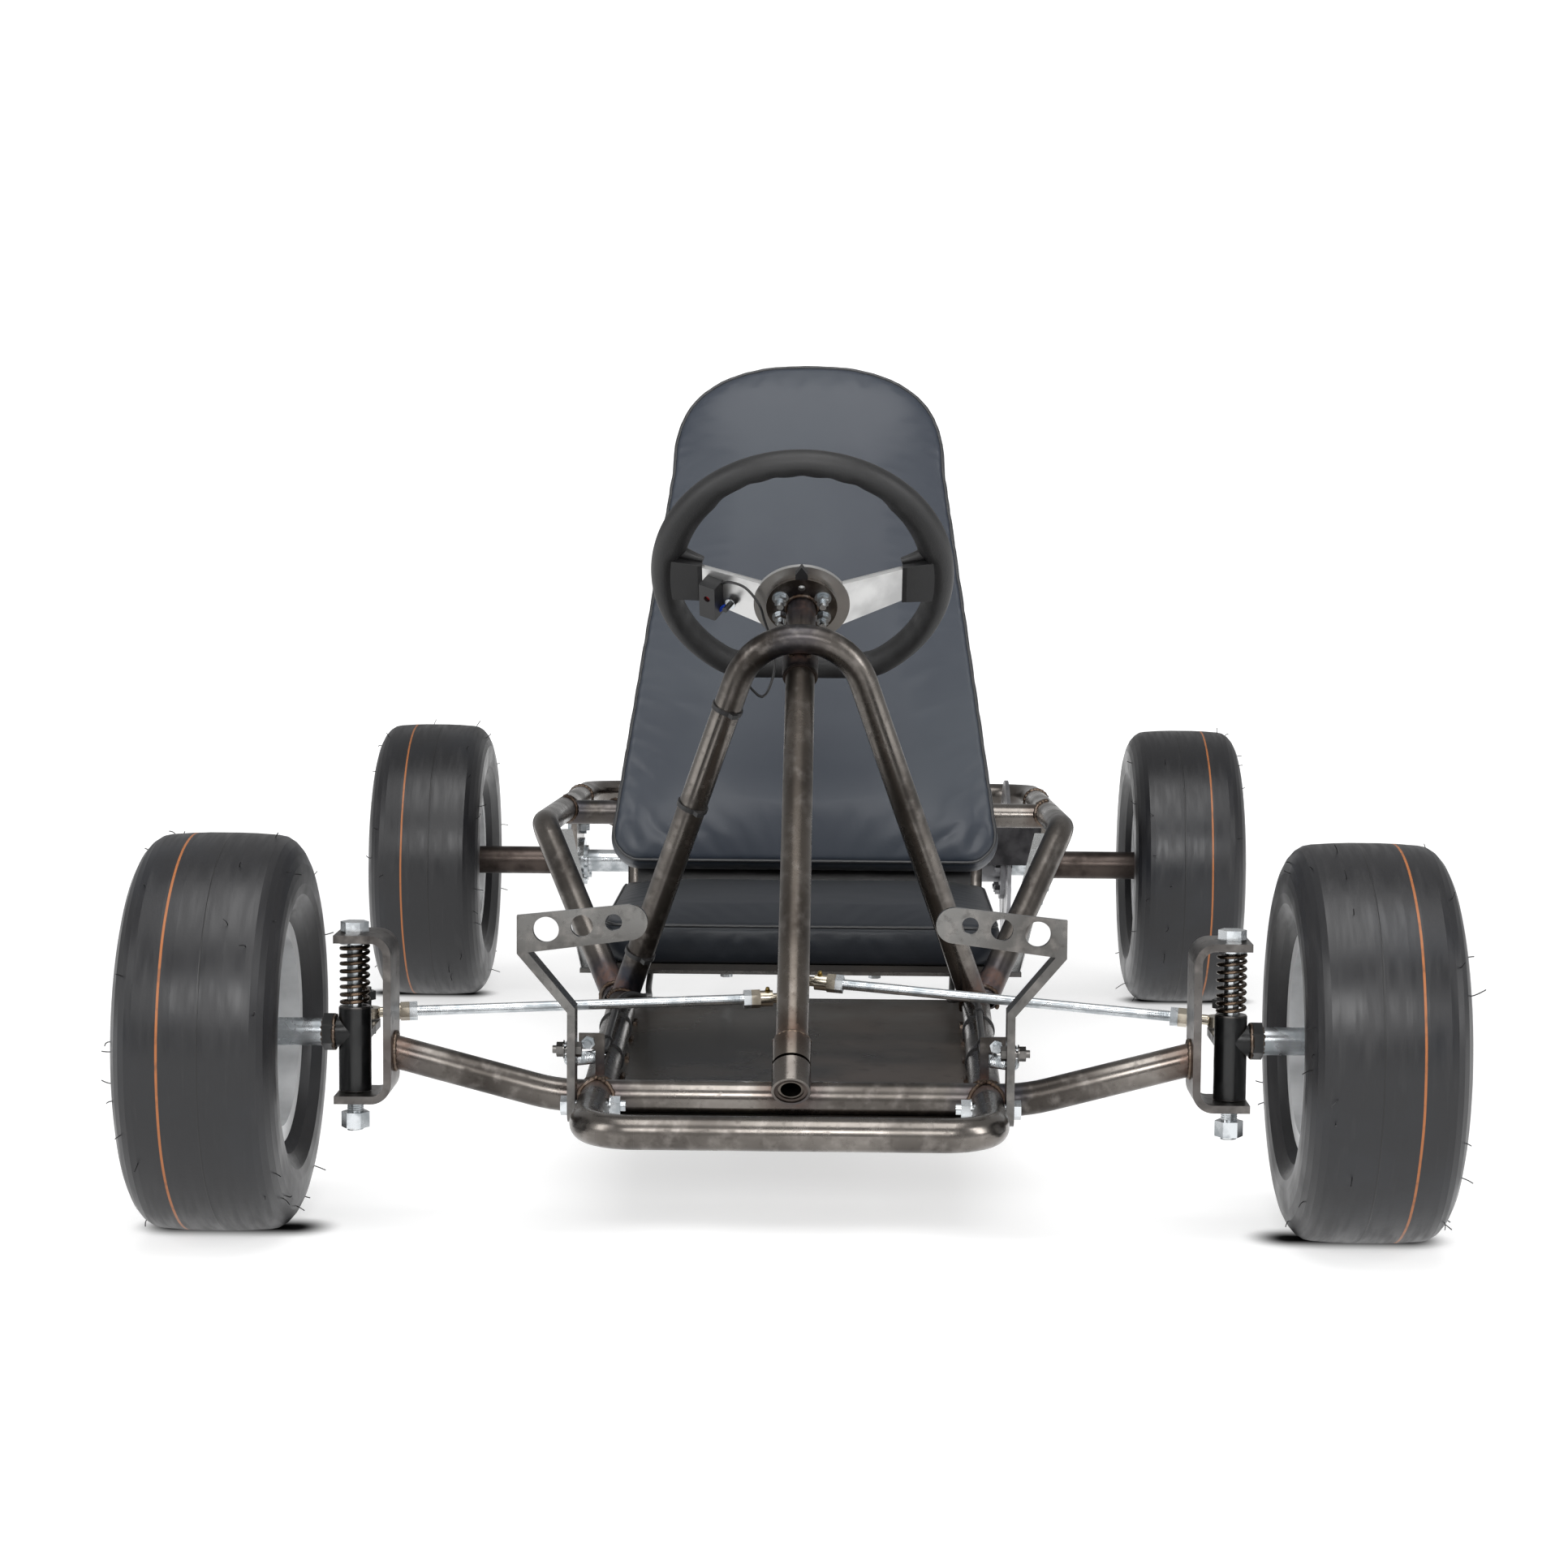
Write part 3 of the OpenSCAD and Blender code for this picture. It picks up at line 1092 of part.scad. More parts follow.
// Pedal: an upright strap, a lean to the outside and a foot plate folded inwards
strap_top = frame_z + 76;
lean_out = 38;
foot_z = frame_z + pedal_h;
module pedal(s) {
    x0 = strap_x;
    x1 = strap_x + lean_out;
    foot_h = 33;
    color("#8a8682") place() at_side(s) difference() {
        union() {
            translate([x0, pedal_y, frame_z]) rotate([0, 90, 0]) cylinder(h = pedal_t, d = strap_w);
            translate([x0, pedal_y - strap_w / 2, frame_z]) cube([pedal_t, strap_w, strap_top - frame_z]);
            hull() {
                translate([x0, pedal_y - strap_w / 2, strap_top - 3]) cube([pedal_t, strap_w, 3]);
                translate([x1, pedal_y - strap_w / 2, foot_z - foot_h / 2]) cube([pedal_t, strap_w, 4]);
            }
            hull() {
                translate([x1, pedal_y - strap_w / 2, foot_z - foot_h / 2]) cube([pedal_t, strap_w, 4]);
                translate([x1, pedal_y - strap_w / 2, foot_z + foot_h / 2 - 14])
                    cube([pedal_t, pedal_t, 10]);
            }
            translate([0, pedal_y - strap_w / 2 + pedal_t, 0]) rotate([90, 0, 0]) linear_extrude(pedal_t)
                union() {
                    polygon([[x1 + pedal_t - 0.5, foot_z - foot_h / 2], [x1 + pedal_t - 0.5, foot_z + foot_h / 2 - 4],
                        [x1 + pedal_t - foot_len + 13, foot_z + foot_h / 2 + 5],
                        [x1 + pedal_t - foot_len + 13, foot_z - foot_h / 2 + 11]]);
                    translate([x1 + pedal_t - foot_len + 13, foot_z + 8]) circle(d = 27);
                }
        }
        translate([x0 - 1, pedal_y, frame_z]) rotate([0, 90, 0]) cylinder(h = 20, d = pivot_d + 2 * slip);
        along_x(x0 - 1, x0 + 20, pedal_y, clamp_z, 6.2);
        along_x(x0 - 1, x0 + pedal_t + 1, hook_y, hook_z, 4);
        for (h = [[26, 19.5, 2], [53, 16.7, 5], [77, 12.7, 8]])
            translate([x1 + pedal_t - h[0] + 4, pedal_y, foot_z + h[2]]) rotate([90, 0, 0])
                cylinder(h = 60, d = h[1], center = true);
    }
    // Cable clamp bolt and nut in the strap
    color(zinc) place() at_side(s) translate([x0 - 0.1, pedal_y, clamp_z]) rotate([0, 90, 0]) {
        bolt(6, pedal_t + 12, 10, 4);
        translate([0, 0, pedal_t + 3.9]) nut(10, 5, 6.1);
        translate([0, 0, pedal_t + 0.2]) washer(14, 6.2, 0.8);
        translate([0, 0, pedal_t + 2.9]) washer(14, 6.2, 0.8);
    }
}

front_beam();
kingpin_brackets();
front_bumper();
side_rails();
side_tubes();
rear_loop();
rear_cross_tubes();
steering_hoop();
floor_pan();
column_collars();
column_bushes();
seat_bars();
seat_board();
seat_cushion();
backrest_pad();
backrest_board();
backrest_frame();
side_stays();
axle_hangers();
axle_bearings();
engine_plate();
brake_caliper();
kingpin_bolts();
pedal_pivot_bolts();
frame_bolts();
control_cables();
cable_ties();
pedal_return(right);  // throttle_return
pedal_return(left);  // brake_return
steering_shaft();
pitman_arm();
spoke_plate();
steering_rim();
spoke_boots();
hub_bolts();
hub_pointer();
kill_switch();
kill_button();
rod_ball(left);  // rod_ball_left
rod_ball(right);  // rod_ball_right
tie_rod(left);  // tie_rod_left
tie_rod(right);  // tie_rod_right
thrust_washer(left);  // thrust_washer_left
thrust_washer(right);  // thrust_washer_right
kingpin_spring(left);  // kingpin_spring_left
kingpin_spring(right);  // kingpin_spring_right
spindle(left);  // spindle_left
spindle(right);  // spindle_right
front_rim(left);  // front_rim_left
front_rim(right);  // front_rim_right
front_tyre(left);  // front_tyre_left
front_tyre(right);  // front_tyre_right
rear_axle();
rear_rims();
rear_tyres();
sprocket();
brake_disc();
pedal(right);  // throttle_pedal
pedal(left);  // brake_pedal
brake_lever();
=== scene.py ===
# %% [markdown]
# # A racing kart, dressed
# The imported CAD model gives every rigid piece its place. This script adds what a CAD file leaves out:
# paint, rust and rubber, weld beads, sewn cushions, springs, cables and the small marks of use.
# Sizes are in millimetres from the front axle backwards, and one helper turns them into the frame's metres.

import json
import math
import random

import bpy
import numpy as np
from mathutils import Matrix, Vector

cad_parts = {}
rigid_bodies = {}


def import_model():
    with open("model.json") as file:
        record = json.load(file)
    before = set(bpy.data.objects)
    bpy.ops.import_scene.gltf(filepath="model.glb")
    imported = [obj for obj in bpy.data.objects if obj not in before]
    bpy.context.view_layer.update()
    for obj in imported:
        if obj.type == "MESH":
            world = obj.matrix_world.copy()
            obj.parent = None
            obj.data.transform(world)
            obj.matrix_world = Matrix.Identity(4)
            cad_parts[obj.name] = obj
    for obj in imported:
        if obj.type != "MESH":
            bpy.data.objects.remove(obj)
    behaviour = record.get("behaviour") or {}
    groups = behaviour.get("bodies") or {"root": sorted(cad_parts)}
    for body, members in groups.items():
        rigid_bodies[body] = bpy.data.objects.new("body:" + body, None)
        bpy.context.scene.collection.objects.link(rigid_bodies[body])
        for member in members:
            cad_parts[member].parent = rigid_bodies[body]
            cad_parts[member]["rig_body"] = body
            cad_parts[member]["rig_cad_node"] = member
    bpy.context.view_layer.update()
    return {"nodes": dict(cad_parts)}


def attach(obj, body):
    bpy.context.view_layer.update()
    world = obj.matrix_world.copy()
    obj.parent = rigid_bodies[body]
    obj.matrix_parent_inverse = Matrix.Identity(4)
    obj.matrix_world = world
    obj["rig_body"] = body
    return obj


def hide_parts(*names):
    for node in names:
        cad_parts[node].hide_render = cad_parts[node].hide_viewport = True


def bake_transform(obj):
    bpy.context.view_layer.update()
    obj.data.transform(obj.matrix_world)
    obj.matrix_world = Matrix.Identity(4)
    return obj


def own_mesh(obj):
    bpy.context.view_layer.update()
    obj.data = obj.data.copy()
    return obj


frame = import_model()
nodes = frame["nodes"]
MM = 0.001
FRONT_AXLE_Y = -629.0
WHEELBASE = 1180
AXLE_Z = 153
RAIL_Z = 105
KINGPIN_X = 337
SIDES = ((1, "left"), (-1, "right"))


def kart(x, y, z):
    """A point in metres from millimetres: x to the driver's left, y behind the front axle, z up."""
    return Vector((x, y + FRONT_AXLE_Y, z)) * MM


def metres(points):
    """The same for a whole line of points."""
    return [kart(*p) for p in points]


# %% [markdown]
# ## Camera
# The photograph was taken from just above the ground, a long step in front of the bumper. The lens, height,
# tilt and the slight roll were worked out from the four tyres, so the render lines up with the picture.

# %% Camera
camera_tilt = (
    Matrix.Rotation(math.radians(0.953), 3, "Z")
    @ Matrix.Rotation(math.radians(90 - 5.134), 3, "X")
    @ Matrix.Rotation(math.radians(0.434), 3, "Z")
)
bpy.ops.object.camera_add(location=kart(33.5, -2464.0, 569.4), rotation=camera_tilt.to_euler())
camera = bpy.context.object
camera.name = "photo_camera"
camera.data.lens = 74.29
camera.data.sensor_width = 36.0
bpy.context.scene.camera = camera
print("camera at", [round(v, 3) for v in camera.location])

# %% [markdown]
# ## Small helpers
# Every new piece ends the same way: its place goes into its mesh, it gets a material, and it rides on the
# CAD body that carries it. Selecting exactly one object first keeps the operators from touching the frame.


# %% Helpers for pieces
def only(obj):
    """Selects one object and nothing else."""
    if bpy.context.object and bpy.context.object.mode != "OBJECT":
        bpy.ops.object.mode_set(mode="OBJECT")
    bpy.ops.object.select_all(action="DESELECT")
    obj.select_set(True)
    bpy.context.view_layer.objects.active = obj


def apply_modifiers(obj):
    """Makes the modifiers' result the piece's own mesh."""
    only(obj)
    for modifier in list(obj.modifiers):
        bpy.ops.object.modifier_apply(modifier=modifier.name)


def join(pieces, name):
    """One piece out of several."""
    only(pieces[0])
    for piece in pieces[1:]:
        piece.select_set(True)
    if len(pieces) > 1:
        bpy.ops.object.join()
    pieces[0].name = name
    return pieces[0]


def settle(obj, body, material, smooth=35):
    """Puts the piece's place into its mesh, smooths it, paints it and lets it ride on a body."""
    only(obj)
    bpy.ops.object.transform_apply(location=True, rotation=True, scale=True)
    obj.data.materials.clear()
    obj.data.materials.append(material)
    if smooth:
        bpy.ops.object.shade_smooth_by_angle(angle=math.radians(smooth))
    if body:
        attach(obj, body)
    return obj


def wire(name, points, radius, closed=False, sides=4):
    """A round wire along points: a poly curve with a bevel."""
    data = bpy.data.curves.new(name, "CURVE")
    data.dimensions = "3D"
    data.bevel_depth = radius
    data.bevel_resolution = sides
    data.use_fill_caps = not closed
    spline = data.splines.new("POLY")
    spline.points.add(len(points) - 1)
    for knot, point in zip(spline.points, points):
        knot.co = (*point, 1)
    spline.use_cyclic_u = closed
    obj = bpy.data.objects.new(name, data)
    bpy.context.scene.collection.objects.link(obj)
    return obj


def as_mesh(curve):
    """The curve, turned into a mesh."""
    only(curve)
    bpy.ops.object.convert(target="MESH")
    return bpy.context.object


def wire_mesh(name, points, radius, closed=False, sides=4):
    """The same wire as a mesh."""
    return as_mesh(wire(name, points, radius, closed, sides))


def from_corners(name, places, faces):
    """A mesh piece from its corners and faces."""
    mesh = bpy.data.meshes.new(name)
    mesh.from_pydata(places, [], faces)
    obj = bpy.data.objects.new(name, mesh)
    bpy.context.scene.collection.objects.link(obj)
    return obj


def smooth_path(points, steps=6):
    """A curve through every point, by Catmull and Rom's rule."""
    p = [Vector(q) for q in points]
    p = [2 * p[0] - p[1], *p, 2 * p[-1] - p[-2]]
    path = []
    for a, b, c, d in zip(p, p[1:], p[2:], p[3:]):
        for i in range(steps):
            t = i / steps
            path.append(
                0.5
                * (2 * b + (c - a) * t + (2 * a - 5 * b + 4 * c - d) * t**2 + (3 * b - a - 3 * c + d) * t**3)
            )
    return path + [p[-2]]


def length_of(path):
    return sum((b - a).length for a, b in zip(path, path[1:]))


# %% [markdown]
# ## Shader nodes in a few words
# Building a material by hand means many small nodes. Two helpers keep each one to a line: one adds a node and
# fills its inputs with numbers or with other nodes' outputs, the other mixes two colours.


# %% Helpers for nodes
def node(tree, kind, inputs=None, **settings):
    """Adds a node, sets its options, and fills its inputs with values or links."""
    made = tree.nodes.new("ShaderNode" + kind)
    for key, value in settings.items():
        setattr(made, key, value)
    for key, value in (inputs or {}).items():
        if isinstance(value, bpy.types.NodeSocket):
            tree.links.new(value, made.inputs[key])
        else:
            made.inputs[key].default_value = value
    return made


def mix(tree, factor, a, b):
    """The colour between a and b."""
    return node(tree, "Mix", {0: factor, 6: a, 7: b}, data_type="RGBA").outputs[2]


def maths(tree, operation, a, b=0.5):
    return node(tree, "Math", {0: a, 1: b}, operation=operation).outputs[0]


def between(tree, value, low, high, to_low=0.0, to_high=1.0):
    """value's place between low and high, as a smooth ramp."""
    inputs = {0: value, 1: low, 2: high, 3: to_low, 4: to_high}
    return node(tree, "MapRange", inputs, interpolation_type="SMOOTHSTEP").outputs[0]


def new_group(name, inputs, outputs):
    """An empty node group with named sockets; gives the tree, its inputs and its outputs."""
    tree = bpy.data.node_groups.new(name, "ShaderNodeTree")
    for label, kind, value in inputs:
        socket = tree.interface.new_socket(label, in_out="INPUT", socket_type="NodeSocket" + kind)
        socket.default_value = value
    for label, kind in outputs:
        tree.interface.new_socket(label, in_out="OUTPUT", socket_type="NodeSocket" + kind)
    return tree, tree.nodes.new("NodeGroupInput").outputs, tree.nodes.new("NodeGroupOutput").inputs


def use(tree, group, **inputs):
    """Places a group in a material; gives its outputs."""
    made = tree.nodes.new("ShaderNodeGroup")
    made.node_tree = group
    for key, value in inputs.items():
        socket = made.inputs[key.replace("_", " ")]
        if isinstance(value, bpy.types.NodeSocket):
            tree.links.new(value, socket)
        else:
            socket.default_value = value
    return made.outputs


def new_material(name):
    """A material with its principled shader; gives the material, its tree and the shader."""
    material = bpy.data.materials.new(name)
    material.use_nodes = True
    return material, material.node_tree, material.node_tree.nodes["Principled BSDF"]


def emboss(tree, shader, strength, distance, height):
    """Raises small bumps from a height; distance is in metres."""
    bump = node(tree, "Bump", {"Strength": strength, "Distance": distance, "Height": height})
    tree.links.new(bump.outputs[0], shader.inputs["Normal"])


def rgb(text):
    """A hex colour as Blender's linear numbers."""
    values = [int(text[i : i + 2], 16) / 255 for i in (0, 2, 4)]
    return (*[v / 12.92 if v <= 0.04045 else ((v + 0.055) / 1.055) ** 2.4 for v in values], 1.0)


# %% [markdown]
# ## Groups that several finishes share
# Blotches, fine grain, long mill lines, worn edges and the heat colours beside a weld turn up again and
# again, so each is one node group with its own inputs, and every material sets its own numbers.


# %% Blotches
blotches, source, target = new_group(
    "blotches",
    [("Scale", "Float", 40.0), ("Low", "Float", 0.4), ("High", "Float", 0.6), ("Detail", "Float", 4.0)],
    [("Mask", "Float")],
)
where = node(blotches, "TexCoord").outputs["Object"]
cloud = node(blotches, "TexNoise", {"Vector": where, "Scale": source["Scale"], "Detail": source["Detail"]})
ramp = node(
    blotches,
    "MapRange",
    {0: cloud.outputs[0], 1: source["Low"], 2: source["High"]},
    interpolation_type="SMOOTHSTEP",
)
blotches.links.new(ramp.outputs[0], target["Mask"])

# %% Lines drawn out one way
drawn_lines, source, target = new_group(
    "drawn_lines",
    [("Stretch", "Vector", (1.0, 1.0, 1.0)), ("Scale", "Float", 100.0)],
    [("Mask", "Float")],
)
where = node(drawn_lines, "TexCoord").outputs["Object"]
longer = node(drawn_lines, "VectorMath", {0: where, 1: source["Stretch"]}, operation="MULTIPLY").outputs[0]
lines = node(drawn_lines, "TexNoise", {"Vector": longer, "Scale": source["Scale"], "Detail": 3.0})
drawn_lines.links.new(lines.outputs[0], target["Mask"])

# %% Fine grain
grain, source, target = new_group(
    "grain",
    [("Scale", "Float", 900.0), ("Creases", "Float", 0.5)],
    [("Height", "Float")],
)
where = node(grain, "TexCoord").outputs["Object"]
cells = node(grain, "TexVoronoi", {"Vector": where, "Scale": source["Scale"]}, feature="SMOOTH_F1")
fine = node(grain, "TexNoise", {"Vector": where, "Scale": maths(grain, "MULTIPLY", source["Scale"], 0.35)})
both = {0: source["Creases"], 2: cells.outputs[0], 3: fine.outputs[0]}
height = node(grain, "Mix", both, data_type="FLOAT")
grain.links.new(height.outputs[0], target["Height"])

# %% Worn edges
worn_edges, source, target = new_group(
    "worn_edges",
    [("Width", "Float", 0.0012), ("Amount", "Float", 0.5)],
    [("Mask", "Float")],
)
rounded = node(worn_edges, "Bevel", {"Radius": source["Width"]}, samples=4).outputs[0]
flat = node(worn_edges, "NewGeometry").outputs["Normal"]
bend = node(worn_edges, "VectorMath", {0: rounded, 1: flat}, operation="DOT_PRODUCT").outputs["Value"]
edge = between(worn_edges, maths(worn_edges, "SUBTRACT", 1.0, bend), 0.02, 0.25)
rough_patch = use(worn_edges, blotches, Scale=160.0, Low=0.35, High=0.65)["Mask"]
scraped = maths(worn_edges, "MULTIPLY", edge, maths(worn_edges, "ADD", rough_patch, 0.25))
worn_edges.links.new(maths(worn_edges, "MULTIPLY", scraped, source["Amount"]), target["Mask"])

# %% Heat colours round a weld
heat, source, target = new_group(
    "heat_round_weld",
    [("Centre", "Vector", (0, 0, 0)), ("Radius", "Float", 0.02)],
    [("Rust", "Float"), ("Tint", "Float")],
)
where = node(heat, "TexCoord").outputs["Object"]
away = node(heat, "VectorMath", {0: where, 1: source["Centre"]}, operation="DISTANCE").outputs["Value"]
share = maths(heat, "DIVIDE", away, source["Radius"])
ragged = use(heat, blotches, Scale=90.0, Low=0.2, High=0.8)["Mask"]
share = maths(heat, "ADD", share, maths(heat, "MULTIPLY", ragged, 0.5))
heat.links.new(between(heat, share, 1.7, 0.9), target["Rust"])
heat.links.new(between(heat, share, 3.0, 1.5), target["Tint"])
print("node groups:", len(bpy.data.node_groups))

# %% [markdown]
# ## Where the welds are
# The frame is bare tube, and each joint carries a rusty bead with brown and blue heat colours round it.
# The same few numbers as in the CAD source say where one tube meets another.

# %% Tubes and their joints
TUBE_R = 12.7
CROSS_Y = 945
HOOP_Y = 465
RAIL_END_Y = 896
LOOP_END = (1400, 212)
ENGINE_RAILS = (-60, -200)
RING_POINTS = 40
BEAD_PROUD = 0.9
SLOPE = math.radians(37.5)
UP_COLUMN = Vector((0, math.cos(SLOPE), math.sin(SLOPE)))
UP_WHEEL = Vector((0, -math.sin(SLOPE), math.cos(SLOPE)))
COLUMN_LOW = Vector((0, 0, RAIL_Z)) + UP_WHEEL * 27.72 - UP_COLUMN * 18.6


def rail_x(y):
    """Half the distance between the side rails at y."""
    return 150 + 22 * y / RAIL_END_Y


KNEE = Vector((250, 650, 249))
LOOP_CORNER = Vector((264, *LOOP_END))


def on_side_tube(y):
    """The middle of the left raised tube at y."""
    return KNEE + (LOOP_CORNER - KNEE) * (y - KNEE.y) / (LOOP_CORNER.y - KNEE.y)


CROSS = Vector((0, CROSS_Y, on_side_tube(CROSS_Y).z - 3))
RAIL_CORNER = Vector((rail_x(RAIL_END_Y), RAIL_END_Y, RAIL_Z))
HOOP_FOOT = Vector((rail_x(HOOP_Y), HOOP_Y, RAIL_Z))
HOOP_BASE = Vector((0, HOOP_Y, RAIL_Z))
SIDE_FOOT = Vector((170, 495, RAIL_Z))
HOOP_TOP = COLUMN_LOW + UP_COLUMN * 502 + UP_WHEEL * 28.22
hoop_run = (HOOP_TOP - HOOP_BASE).length
hoop_bend = 58
hoop_height = 480.0
# The bend cuts the corner of the two legs, so the corner is found by closing in on it
for _ in range(12):
    hoop_height = hoop_run - hoop_bend + hoop_bend / math.sin(math.atan(HOOP_FOOT.x / hoop_height))
HOOP_CORNER = HOOP_BASE + (HOOP_TOP - HOOP_BASE).normalized() * hoop_height


def mirrored(p, side):
    """The point on its own side of the kart."""
    return Vector((p.x * side, p.y, p.z))


def saddle(point, towards, along, radius=TUBE_R):
    """The closed line where a tube from point towards another place leaves a tube that runs along."""
    d = (towards - point).normalized()
    m = along.normalized()
    first = d.cross(m).normalized()
    second = d.cross(first)
    line = []
    for i in range(RING_POINTS):
        a = 2 * math.pi * i / RING_POINTS
        w = (radius + BEAD_PROUD) * (math.cos(a) * first + math.sin(a) * second)
        dm, wm = d.cross(m), w.cross(m)
        qa, qb, qc = dm.dot(dm), 2 * wm.dot(dm), wm.dot(wm) - (TUBE_R + BEAD_PROUD) ** 2
        root = max(qb * qb - 4 * qa * qc, 0.0)
        line.append(point + w + d * (-qb + math.sqrt(root)) / (2 * qa))
    return line


def circle(centre, axis, radius):
    """A ring of points round an axis."""
    axis = axis.normalized()
    first = axis.orthogonal().normalized()
    second = axis.cross(first)
    turns = [2 * math.pi * i / RING_POINTS for i in range(RING_POINTS)]
    return [centre + radius * (math.cos(a) * first + math.sin(a) * second) for a in turns]


ALONG_X = Vector((1, 0, 0))
weld_lines = []
weld_centres = []


def weld(points, centre, closed=True):
    """Notes one bead's line, and where its heat was."""
    weld_lines.append((points, closed))
    weld_centres.append(Vector(centre))


for side in (1, -1):
    beam_point = Vector((150 * side, 0, RAIL_Z))
    rail_end = mirrored(RAIL_CORNER, side)
    weld(saddle(beam_point, beam_point - Vector((0, 60, 0)), ALONG_X), beam_point + Vector((0, -16, 4)))
    weld(saddle(beam_point, rail_end, ALONG_X), beam_point + Vector((0, 16, 4)))
    foot, rail_way = mirrored(HOOP_FOOT, side), rail_end - beam_point
    weld(saddle(foot, HOOP_CORNER, rail_way), foot + Vector((0, -6, 16)))
    foot = mirrored(SIDE_FOOT, side)
    weld(saddle(foot, mirrored(KNEE, side), rail_way), foot + Vector((6 * side, 8, 16)))
    rail_top = Vector(((rail_x(RAIL_END_Y) + 3) * side, CROSS.y, CROSS.z))
    weld(saddle(rail_top, rail_end, ALONG_X), rail_top - Vector((0, 8, 14)))
    cross_end, side_way = mirrored(on_side_tube(CROSS_Y), side), mirrored(LOOP_CORNER - KNEE, side)
    weld(saddle(cross_end, Vector((0, cross_end.y, cross_end.z)), side_way), cross_end)
    butt = mirrored(on_side_tube(1230), side)
    weld(circle(butt, side_way, TUBE_R + 0.4), butt)
    beam_end = Vector((305.4 * side, 0, 138.4))
    around = np.linspace(0, 6.126, RING_POINTS)
    weld([beam_end + Vector((0, 13.3 * math.cos(a), 13.8 * math.sin(a))) for a in around], beam_end)
for x in ENGINE_RAILS:
    start, end = Vector((x, CROSS.y, CROSS.z)), Vector((x, *LOOP_END))
    weld(saddle(start, end, ALONG_X), start + Vector((0, 14, 0)))
    weld(saddle(end, start, ALONG_X), end - Vector((0, 14, 0)))
for x in (90, -90):
    leg = Vector((x, 905.9, 271.5))
    start = Vector((x, CROSS.y, CROSS.z))
    weld(saddle(start, leg, ALONG_X, radius=10), start + Vector((0, -8, 12)))
# Beads that lie in the groove between two crossing tubes
low_touch = Vector((0, 0, RAIL_Z)) + UP_WHEEL * TUBE_R
for k in (1, -1):
    bead = []
    for t in np.linspace(-1.5, 1.5, 9):
        place = low_touch + ALONG_X * (k * 9 + k * 1.5 * math.cos(t)) + UP_COLUMN * (9 * math.sin(t))
        bead.append(place + UP_WHEEL * (abs(math.sin(t)) * 2.2 + 1.2))
    weld(bead, low_touch, closed=False)
    bead = []
    for t in np.linspace(-1.4, 1.4, 9):
        bead.append(HOOP_TOP + ALONG_X * (k * 8) + UP_COLUMN * (8 * math.sin(t)) - UP_WHEEL * (TUBE_R + 1))
    weld(bead, HOOP_TOP - UP_WHEEL * TUBE_R, closed=False)
print("welds:", len(weld_lines), "heated:", len(weld_centres))


# %% [markdown]
# ## Bare steel
# Frame tube comes dark and slightly streaked from the mill; its pale streaks are mill lines and painted
# highlight streaks too. The colour wanders between warm brown and grey, rust sits beside the beads, and
# further out the metal turns straw, brown and blue.


# %% Bare steel
def heat_masks(tree, centres, radius):
    """The strongest rust and tint of all the welds."""
    rust = tint = None
    for centre in centres:
        outputs = use(tree, heat, Centre=kart(*centre), Radius=radius)
        if rust is None:
            rust, tint = outputs["Rust"], outputs["Tint"]
        else:
            rust = maths(tree, "MAXIMUM", rust, outputs["Rust"])
            tint = maths(tree, "MAXIMUM", tint, outputs["Tint"])
    return rust, tint


def bare_steel(name, light, dark, roughness, centres=(), radius=0.0, rusty=0.0):
    """Raw steel: pale streaks that are mill lines and painted highlight, blotches, rust and heat colours by
    the given welds.
    """
    material, tree, shader = new_material(name)
    broad = use(tree, blotches, Scale=9.0, Low=0.3, High=0.75, Detail=2.0)["Mask"]
    small = use(tree, blotches, Scale=150.0, Low=0.52, High=0.75, Detail=6.0)["Mask"]
    streak_and_painted_highlight = use(tree, drawn_lines, Stretch=(0.35, 0.12, 0.35), Scale=260.0)["Mask"]
    colour = mix(tree, broad, rgb(light), rgb(dark))
    colour = mix(tree, maths(tree, "MULTIPLY", small, 0.25), colour, rgb("2b2522"))
    # Pale streaks along the tube: mill lines, and painted highlight streaks.
    colour = mix(tree, between(tree, streak_and_painted_highlight, 0.45, 0.8, 0.0, 0.3), colour, rgb("a39d98"))
    shine = between(tree, broad, 0.0, 1.0, roughness - 0.06, roughness + 0.1)
    shine = maths(tree, "ADD", shine, maths(tree, "MULTIPLY", small, 0.14))
    shader.inputs["Metallic"].default_value = 1.0
    if centres:
        rust, tint = heat_masks(tree, centres, radius)
        speckle = use(tree, blotches, Scale=260.0, Low=0.35, High=0.6)["Mask"]
        rust = maths(tree, "MULTIPLY", rust, maths(tree, "ADD", maths(tree, "MULTIPLY", speckle, 0.5), 0.4))
        rust = maths(tree, "MULTIPLY", rust, rusty)
        hue = mix(tree, broad, rgb("453327"), rgb("363b47"))
        colour = mix(tree, maths(tree, "MULTIPLY", tint, 0.6), colour, hue)
        colour = mix(tree, rust, colour, rgb("5c3a27"))
        shine = maths(tree, "ADD", shine, maths(tree, "MULTIPLY", rust, 0.35))
        metal = maths(tree, "SUBTRACT", 1.0, maths(tree, "MULTIPLY", rust, 0.8))
        tree.links.new(metal, shader.inputs["Metallic"])
    tree.links.new(colour, shader.inputs["Base Color"])
    tree.links.new(shine, shader.inputs["Roughness"])
    emboss(tree, shader, 0.12, 0.0003, streak_and_painted_highlight)
    return material


